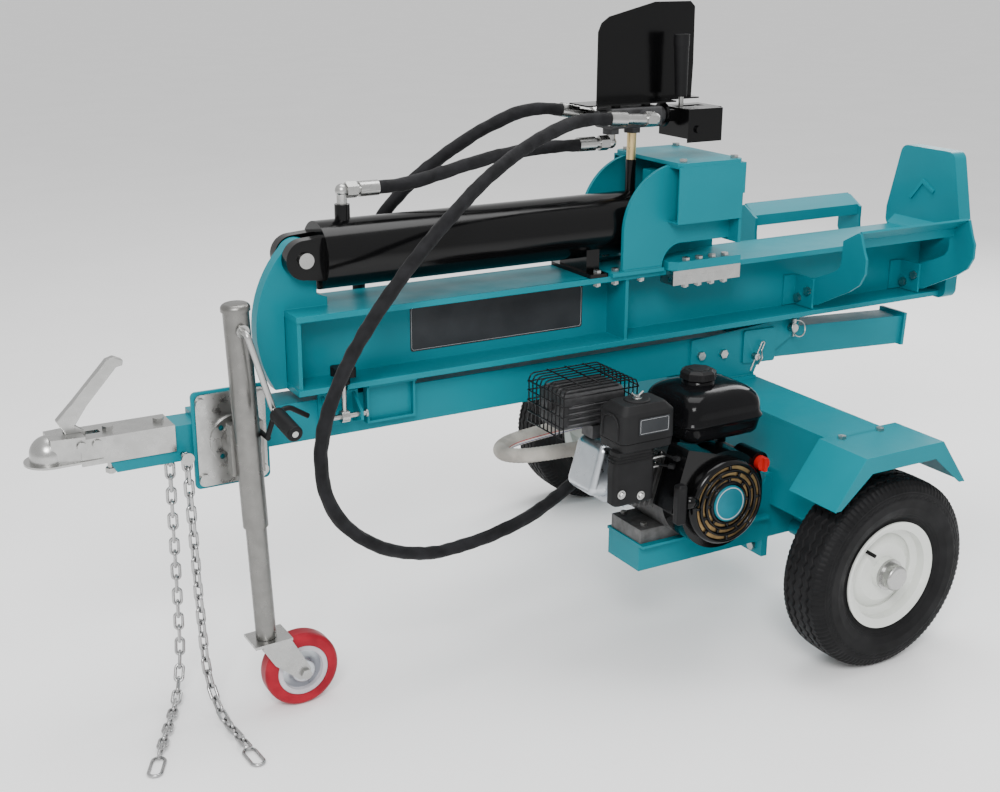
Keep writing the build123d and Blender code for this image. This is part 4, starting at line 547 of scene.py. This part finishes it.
# ---------------------------------------------------------------- tyres
def ring_profile(points, step):
    """Points an even step apart along an open polyline of (y, r) pairs."""
    line = [Vector((y, r, 0)) for y, r in points]
    return [(p.x, p.y) for p in resample(line, step)]


def zigzag(turns, a):
    """Triangle wave between -1 and 1 with so many periods round the wheel."""
    t = (a * turns / (2 * math.pi)) % 1
    return 4 * abs(t - 0.5) - 1


TREAD_STEPS = 720
TREAD_GROOVES = (-0.0290, -0.0105, 0.0105, 0.0290)
GROOVE_DEPTH = 0.0052
LUG_DEPTH = 0.0018
SIDEWALL_RINGS = (0.1275, 0.1325, 0.1810)


def tyre(side):
    """Tyre with zig-zag tread grooves, shoulder lugs, sidewall rings and a moulded wavy line."""
    sign = -1 if side == "near" else 1
    outline = [(0.0455, 0.102), (0.0455, 0.121), (0.0545, 0.134), (0.0595, 0.150), (0.0605, 0.168),
               (0.0575, 0.184), (0.0520, 0.1955), (0.0430, 0.2040), (0.0300, 0.2062), (0.0, 0.2068)]
    half = ring_profile(outline, 0.0011)
    profile = half + [(-y, r) for y, r in reversed(half[:-1])]
    points, faces = [], []
    for k in range(TREAD_STEPS):
        a = 2 * math.pi * k / TREAD_STEPS
        wave = zigzag(54, a)
        for y, r in profile:
            if r > 0.1985:
                near = min(abs(y - g - 0.0030 * wave) for g in TREAD_GROOVES)
                r -= GROOVE_DEPTH * max(0.0, min(1.0, (0.0030 - near) / 0.0012))
            edge = abs(y)
            if 0.186 < r < 0.2055 and edge > 0.040:
                lug = zigzag(108, a + (0.03 if y > 0 else 0))
                r -= LUG_DEPTH * max(0.0, min(1.0, lug * 3))
            if 0.150 < r < 0.186:
                wavy = 0.1735 + 0.0022 * zigzag(72, a)
                y -= math.copysign(0.0011, y) * max(0.0, 1 - abs(r - wavy) / 0.0013)
            for ring in SIDEWALL_RINGS:
                y -= math.copysign(0.0009, y) * max(0.0, 1 - abs(r - ring) / 0.0012)
            points.append(at(0, sign * 534, 207) + Vector((r * math.cos(a), y, r * math.sin(a))))
    n = len(profile)
    for k in range(TREAD_STEPS):
        j = (k + 1) % TREAD_STEPS
        for i in range(n - 1):
            faces.append((k * n + i, j * n + i, j * n + i + 1, k * n + i + 1))
    made = piece("tread_" + side, mesh_of("tread_" + side, points, faces), "wheel_" + side, M["tyre"])
    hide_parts("tyre_" + side)


for side in ("near", "far"):
    tyre(side)


# ---------------------------------------------------------------- engine details
def rounded(half_x, half_y, radius, per_corner=8):
    """Rounded rectangle about the origin as (x, y) pairs."""
    out = []
    for corner in range(4):
        sx, sy = ((1, 1), (-1, 1), (-1, -1), (1, -1))[corner]
        cx, cy = sx * (half_x - radius), sy * (half_y - radius)
        for k in range(per_corner + 1):
            a = math.pi / 2 * (corner + k / per_corner)
            out.append((cx + radius * math.cos(a), cy + radius * math.sin(a)))
    return out


def loft(centre, levels):
    """Closed skin through rounded rectangles: levels are (z, half_x, half_y, corner radius)."""
    points, faces = [], []
    for z, half_x, half_y, radius in levels:
        points += [Vector(centre) + Vector((x, y, z)) for x, y in rounded(half_x, half_y, radius)]
    n = len(points) // len(levels)
    for i in range(len(levels) - 1):
        for k in range(n):
            j = (k + 1) % n
            faces.append((i * n + k, i * n + j, (i + 1) * n + j, (i + 1) * n + k))
    faces.append(tuple(reversed(range(n))))
    faces.append(tuple(range((len(levels) - 1) * n, len(levels) * n)))
    return points, faces


def fuel_tank():
    """Pressed tank: lower pan, seam flange and a crowned upper shell with a dished filler."""
    centre = at(-284, -299, 0)
    levels = [(0.4885, 0.084, 0.076, 0.022), (0.4925, 0.090, 0.082, 0.024), (0.523, 0.0945, 0.0855, 0.026),
              (0.5245, 0.0995, 0.0905, 0.030), (0.5295, 0.0995, 0.0905, 0.030), (0.5310, 0.0950, 0.0860, 0.026),
              (0.552, 0.0945, 0.0855, 0.027), (0.566, 0.0915, 0.0825, 0.029), (0.577, 0.085, 0.076, 0.032),
              (0.585, 0.074, 0.065, 0.036), (0.590, 0.056, 0.048, 0.034), (0.5918, 0.034, 0.028, 0.022)]
    made = piece("tank_shell", mesh_of("tank_shell", *loft(centre, levels)), "chassis", M["plastic_gloss"])
    smooth = made.modifiers.new("smooth", "SUBSURF")
    smooth.levels = smooth.render_levels = 1
    neck = [(0.588, 0.034), (0.5965, 0.033), (0.5985, 0.030), (0.5985, 0.020)]
    ring = piece("filler_neck", mesh_of("filler_neck", *lathe(neck, at(-298, -298, 0), (0, 0, 1))), "chassis",
                 M["plastic_gloss"])
    posts = [lathe([(0.452, 0.009), (0.490, 0.009)], at(x, -300, 0), (0, 0, 1), 20) for x in (-350, -230)]
    feet = piece("tank_posts", mesh_of("tank_posts", *join_lists(posts)), "chassis", M["black_gloss"])
    for part in (made, ring, feet):
        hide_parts("fuel_tank")


def octagon(centre, z0, z1, r0, r1, turn=22.5):
    points = []
    for z, r in ((z0, r0), (z1, r1)):
        points += [Vector(centre) + Vector((r * math.cos(math.radians(turn + 45 * k)),
                                            r * math.sin(math.radians(turn + 45 * k)), z)) for k in range(8)]
    faces = [(k, (k + 1) % 8, 8 + (k + 1) % 8, 8 + k) for k in range(8)]
    return points, faces + [tuple(reversed(range(8))), tuple(range(8, 16))]


def fuel_cap():
    """Eight-sided cap with a bevelled rim, a raised centre and a row of grip ribs."""
    centre = at(-298, -298, 0)
    parts = [octagon(centre, 0.6000, 0.6135, 0.0385, 0.0375), octagon(centre, 0.6135, 0.6185, 0.0375, 0.0300),
             octagon(centre, 0.6185, 0.6200, 0.0220, 0.0205)]
    for k in range(8):
        a = math.radians(45 * k)
        out = Vector((math.cos(a), math.sin(a), 0))
        across = Vector((-math.sin(a), math.cos(a), 0))
        for step in (-2, -1, 0, 1, 2):
            foot = centre + out * 0.0352 + across * (step * 0.0042)
            parts.append(tube([foot + Vector((0, 0, 0.602)), foot + Vector((0, 0, 0.612))], 0.0008, 6))
    made = piece("fuel_cap_top", mesh_of("fuel_cap_top", *join_lists(parts), False), "fuel_cap", M["plastic"])
    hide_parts("fuel_cap")
    soften(made, 0.0012)


SPOKES = 8


def recoil_cover():
    """Domed starter cover: black rings and spokes over a bronze screen, with a blank round badge."""
    centre = at(-300, 0, 368)
    out = (0, -1, 0)

    def disc_piece(name, profile, material):
        return piece(name, mesh_of(name, *lathe(profile, centre, out, 96)), "chassis", material)

    dome = [(0.398, 0.090), (0.412, 0.090), (0.4185, 0.0865), (0.4205, 0.083), (0.4205, 0.0795),
            (0.4165, 0.0785)]
    parts = [lathe(dome, centre, out, 96)]
    for inner, outer in ((0.0655, 0.0705), (0.0525, 0.0570), (0.0385, 0.0445)):
        crown = [(0.414, outer + 0.0008), (0.4208, outer), (0.4222, (inner + outer) / 2), (0.4208, inner),
                 (0.414, inner - 0.0008)]
        parts.append(lathe(crown, centre, out, 96))
    for ring, (low, high) in enumerate(((0.0705, 0.0800), (0.0570, 0.0655), (0.0440, 0.0525))):
        for k in range(SPOKES):
            a = 2 * math.pi * (k + 0.5 * (ring % 2)) / SPOKES
            way = Vector((math.cos(a), 0, math.sin(a)))
            parts.append(tube([centre + way * low + Vector((0, -0.4185, 0)),
                               centre + way * high + Vector((0, -0.4180, 0))], 0.0031, 10))
    guide = [at(-404, -412, 386), at(-392, -411, 385), at(-380, -409, 382)]
    parts.append(tube(guide, lambda s, a: 0.0125 + 0.10 * s, 20))
    made = piece("starter_cover", mesh_of("starter_cover", *join_lists(parts)), "chassis", M["black_gloss"])
    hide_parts("recoil_cover")
    screen = [(0.4150, 0.0), (0.4155, 0.084)]
    mesh = disc_piece("starter_screen", screen, M["bronze"])
    badge = [(0.4190, 0.0380), (0.4236, 0.0376), (0.4240, 0.0350), (0.4240, 0.0)]
    disc = disc_piece("starter_badge", badge, M["badge"])
    line = [(0.42395, 0.0345), (0.4241, 0.0340), (0.4241, 0.0328), (0.42395, 0.0323)]
    edge = disc_piece("badge_line", line, M["label_light"])


def hex_head(centre, axis, across, height):
    """Bolt head: a bevelled hexagon with a washer under it."""
    centre, axis = Vector(centre), Vector(axis).normalized()
    side = axis.orthogonal().normalized()
    other = axis.cross(side)
    points = []
    levels = ((0.0, across * 0.577), (height * 0.8, across * 0.577), (height, across * 0.50))
    for up, r in levels:
        for k in range(6):
            a = math.pi / 3 * k
            points.append(centre + axis * up + side * (r * math.cos(a)) + other * (r * math.sin(a)))
    faces = [(i * 6 + k, i * 6 + (k + 1) % 6, (i + 1) * 6 + (k + 1) % 6, (i + 1) * 6 + k)
             for i in range(2) for k in range(6)]
    faces.append(tuple(range(12, 18)))
    rim = across * 0.85
    washer = lathe([(-0.0002, rim), (0.0012, rim), (0.0014, across * 0.55)], centre, axis, 28)
    return join_lists([(points, faces), washer])


def air_cleaner():
    """Filter box: chamfered lid, a parting line, an arched side panel, ribs, wing nut and a blank label."""
    centre = at(-473, -334, 0)
    lid = [(0.5175, 0.0625, 0.0435, 0.013), (0.5190, 0.0630, 0.0440, 0.013), (0.574, 0.0618, 0.0428, 0.012),
           (0.5765, 0.0605, 0.0415, 0.012), (0.5885, 0.0490, 0.0310, 0.010), (0.590, 0.0470, 0.0290, 0.009)]
    base = [(0.497, 0.0560, 0.0380, 0.012), (0.500, 0.0605, 0.0420, 0.013), (0.5160, 0.0622, 0.0432, 0.013),
            (0.5172, 0.0600, 0.0410, 0.012)]
    parts = [loft(centre, lid), loft(centre, base)]
    elbow = [(0.388, 0.0430, 0.0120, 0.008), (0.392, 0.0480, 0.0155, 0.010), (0.455, 0.0485, 0.0158, 0.010),
             (0.500, 0.0440, 0.0160, 0.010)]
    parts.append(loft(at(-499, -356, 0), elbow))
    for z in (478, 484, 490):
        band = [(z / 1000 - 0.0013, 0.0465, 0.0166, 0.010), (z / 1000, 0.0478, 0.0178, 0.011),
                (z / 1000 + 0.0013, 0.0465, 0.0166, 0.010)]
        parts.append(loft(at(-499, -356, 0), band))
    dish = [(0.5885, 0.0270), (0.5920, 0.0262), (0.5935, 0.0235), (0.5935, 0.0)]
    parts.append(lathe(dish, at(-474, -334, 0), (0, 0, 1), 48))
    arch = [at(-536.0, -362, 521), at(-536.6, -362, 552), at(-536.6, -356, 564), at(-536.6, -344, 570),
            at(-536.6, -326, 570), at(-536.6, -314, 564), at(-536.6, -308, 552), at(-536.0, -308, 521)]
    parts.append(tube(arch, 0.0021, 8))
    made = piece("airbox", mesh_of("airbox", *join_lists(parts), False), "chassis", M["black_matte"])
    soften(made, 0.0014)
    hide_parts("air_cleaner")
    split_copy("air_cleaner", "chassis", M["silver"], [], lambda low, high: high.z > 0.5)
    nut = [hex_head(at(-474, -334, 593.5), (0, 0, 1), 0.011, 0.006)]
    for side in (-1, 1):
        wing = [at(-474 + side * reach, -334, z) for reach, z in ((4, 598), (11, 603), (14, 605.5))]
        nut.append(tube(wing, 0.0021, 8))
    for x, z in ((-530, 414), (-484, 404)):
        nut.append(hex_head(at(x, -371.8, z), (0, -1, 0), 0.011, 0.006))
    fixings = piece("airbox_fixings", mesh_of("airbox_fixings", *join_lists(nut), False), "chassis", M["zinc"])
    soften(fixings, 0.0006)


WIRE = 0.00155


def cage():
    """Wire guard over the muffler: hoops tied by cross wires."""
    wires = []
    x0, x1, y0, y1, z0, z1 = -604, -430, -272, -140, 508, 611
    hoops = 10
    for k in range(hoops):
        y = y0 + (y1 - y0) * k / (hoops - 1)
        hoop = [at(x0, y, z0), at(x0, y, z1 - 12), at(x0 + 4, y, z1 - 3), at(x0 + 12, y, z1),
                at(x1 - 12, y, z1), at(x1 - 4, y, z1 - 3), at(x1, y, z1 - 12), at(x1, y, z0 + 30)]
        wires.append(tube(hoop, WIRE, 8))
    for z in (510, 532, 554, 576, 596):
        wires.append(tube([at(x0 - 1.5, y0 - 2, z), at(x0 - 1.5, y1 + 2, z)], WIRE, 8))
    for x in (-560, -517, -474):
        wires.append(tube([at(x, y0 - 2, z1 + 1.6), at(x, y1 + 2, z1 + 1.6)], WIRE, 8))
    for z in (556, 576, 594):
        for y in (y0 - 1.5, y1 + 1.5):
            wires.append(tube([at(x0 - 2, y, z), at(x1 + 2, y, z)], WIRE, 8))
    for z in (540, 570, 596):
        wires.append(tube([at(x1 + 1.5, y0 - 2, z), at(x1 + 1.5, y1 + 2, z)], WIRE, 8))
    made = piece("muffler_cage", mesh_of("muffler_cage", *join_lists(wires)), "chassis", M["black_satin"])
    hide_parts("muffler")


def muffler_box():
    """Ribs pressed into the muffler's body."""
    ribs = []
    for y in (-240, -218, -196, -174):
        rib = [at(-584, y, 589), at(-580, y, 593.5), at(-458, y, 593.5), at(-454, y, 589)]
        ribs.append(tube(rib, 0.0030, 10))
    for z in (528, 540, 552, 564):
        ribs.append(tube([at(-580, -253, z), at(-458, -253, z)], 0.0022, 8))
    made = piece("muffler_ribs", mesh_of("muffler_ribs", *join_lists(ribs)), "chassis", M["iron"])


fuel_tank()
fuel_cap()
recoil_cover()
air_cleaner()
cage()
muffler_box()


# ---------------------------------------------------------------- labels, welds and small fittings
LABEL_THICKNESS = 0.0006
LABEL_MARGIN = 0.006          # both margins of the border line together


def label(name, body, origin, along, up, size, radius, slot, *materials):
    """Thin blank plate with rounded corners and a thin light border line."""
    along, up = Vector(along).normalized(), Vector(up).normalized()
    out = along.cross(up)
    outline = rounded(size[0] / 2, size[1] / 2, radius, 5)
    ring = [Vector(origin) + along * x + up * y for x, y in outline]
    n = len(ring)
    points = ring + [p + out * LABEL_THICKNESS for p in ring]
    faces = [(k, (k + 1) % n, n + (k + 1) % n, n + k) for k in range(n)]
    faces.append(tuple(range(n, 2 * n)))
    made = piece(name, mesh_of(name, points, faces, False), body, materials[0])
    wide, high = 1 - LABEL_MARGIN / size[0], 1 - LABEL_MARGIN / size[1]
    inset = [Vector(origin) + along * (x * wide) + up * (y * high) + out * LABEL_THICKNESS for x, y in outline]
    line = piece(name + "_line", mesh_of(name + "_line", *tube(inset, 0.00035, 6, True)), body, materials[1])


def bead(path, radius):
    """Weld bead: overlapping ripples along a path."""
    def ripple(s, a):
        wander = noise.noise(Vector((s * 90, math.cos(a), math.sin(a))))
        return radius * (0.86 + 0.12 * math.sin(2 * math.pi * s / 0.0042) + 0.12 * wander)
    return tube(resample(path, 0.0014), ripple, 8)


label("beam_plate", "beam", at(-598, -5.1, 696), (1, 0, 0), (0, 0, 1), (0.412, 0.094), 0.006, "black_paint",
      M["label"], M["label_light"])
label("airbox_plate", "chassis", at(-462, -378.4, 549), (1, 0, 0), (0, 0, 1), (0.072, 0.034), 0.003,
      "black_plastic", M["label"], M["label_light"])


def welds(name, body, lines, radius):
    beads = [bead([at(*p) for p in line], radius) for line in lines]
    made = piece(name, mesh_of(name, *join_lists(beads)), body, M["weld"])


welds("frame_welds", "chassis", [[(-1262, -40.5, 514), (-1262, -40.5, 592)],
                                 [(-85.5, -180, 481), (-85.5, -60, 481)],
                                 [(-122, -47, 486.5), (60, -47, 486.5)]], 0.0032)
welds("beam_welds", "beam", [[(607, -76, 784.5), (607, 76, 784.5)], [(-342, -86, 781), (-246, -86, 781)],
                             [(-342, 86, 781), (-246, 86, 781)]], 0.0030)


label("fender_plate", "chassis", at(20, -520, 474.5), (1, 0, 0), (0, 1, 0), (0.052, 0.022), 0.003, "zinc",
      M["silver"], M["label"])


def caster_hub():
    """Bearing hub of the caster wheel, on both sides."""
    low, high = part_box("caster_wheel")
    middle = (Vector(low) + Vector(high)) / 2
    parts = []
    for side in (-1, 1):
        rings = [(0.0102, 0.041), (0.0112, 0.030), (0.0190, 0.0245), (0.0240, 0.0230), (0.0246, 0.0200),
                 (0.0246, 0.0062)]
        parts.append(lathe(rings, middle, (0, side, 0), 64))
    made = piece("caster_hub", mesh_of("caster_hub", *join_lists(parts)), "caster_wheel", M["silver"])


caster_hub()


# ---------------------------------------------------------------- floor and light
def stage():
    size = 40
    points = [Vector((x * size, y * size, 0)) for x, y in ((-1, -1), (1, -1), (1, 1), (-1, 1))]
    floor = bpy.data.objects.new("floor", mesh_of("floor", points, [(0, 1, 2, 3)], False))
    look = Look("floor", (0.93, 0.93, 0.93), 0.8)
    look.tint(look.noise(2), (0.92, 0.92, 0.92), (0.94, 0.94, 0.94))
    floor.data.materials.append(look.material)
    bpy.context.scene.collection.objects.link(floor)


def light(name, place, target, size, power):
    data = bpy.data.lights.new(name, "AREA")
    data.shape = "RECTANGLE"
    data.size, data.size_y = size
    data.energy = power
    obj = bpy.data.objects.new(name, data)
    obj.location = place
    obj.rotation_euler = (Vector(target) - Vector(place)).to_track_quat("-Z", "Y").to_euler()
    bpy.context.scene.collection.objects.link(obj)


def studio():
    world = bpy.data.worlds.new("studio")
    bpy.context.scene.world = world
    world.use_nodes = True
    world.node_tree.nodes["Background"].inputs["Color"].default_value = (1, 1, 1, 1)
    world.node_tree.nodes["Background"].inputs["Strength"].default_value = 0.95
    light("key", (-2.2, -3.2, 3.4), (0, 0, 0.5), (1.6, 1.6), 190)
    light("top", (0.3, 0.3, 4.2), (0, 0, 0.5), (3.0, 2.0), 110)
    light("rim_light", (3.2, 1.5, 2.6), (0, 0, 0.7), (1.2, 2.4), 70)


stage()
studio()
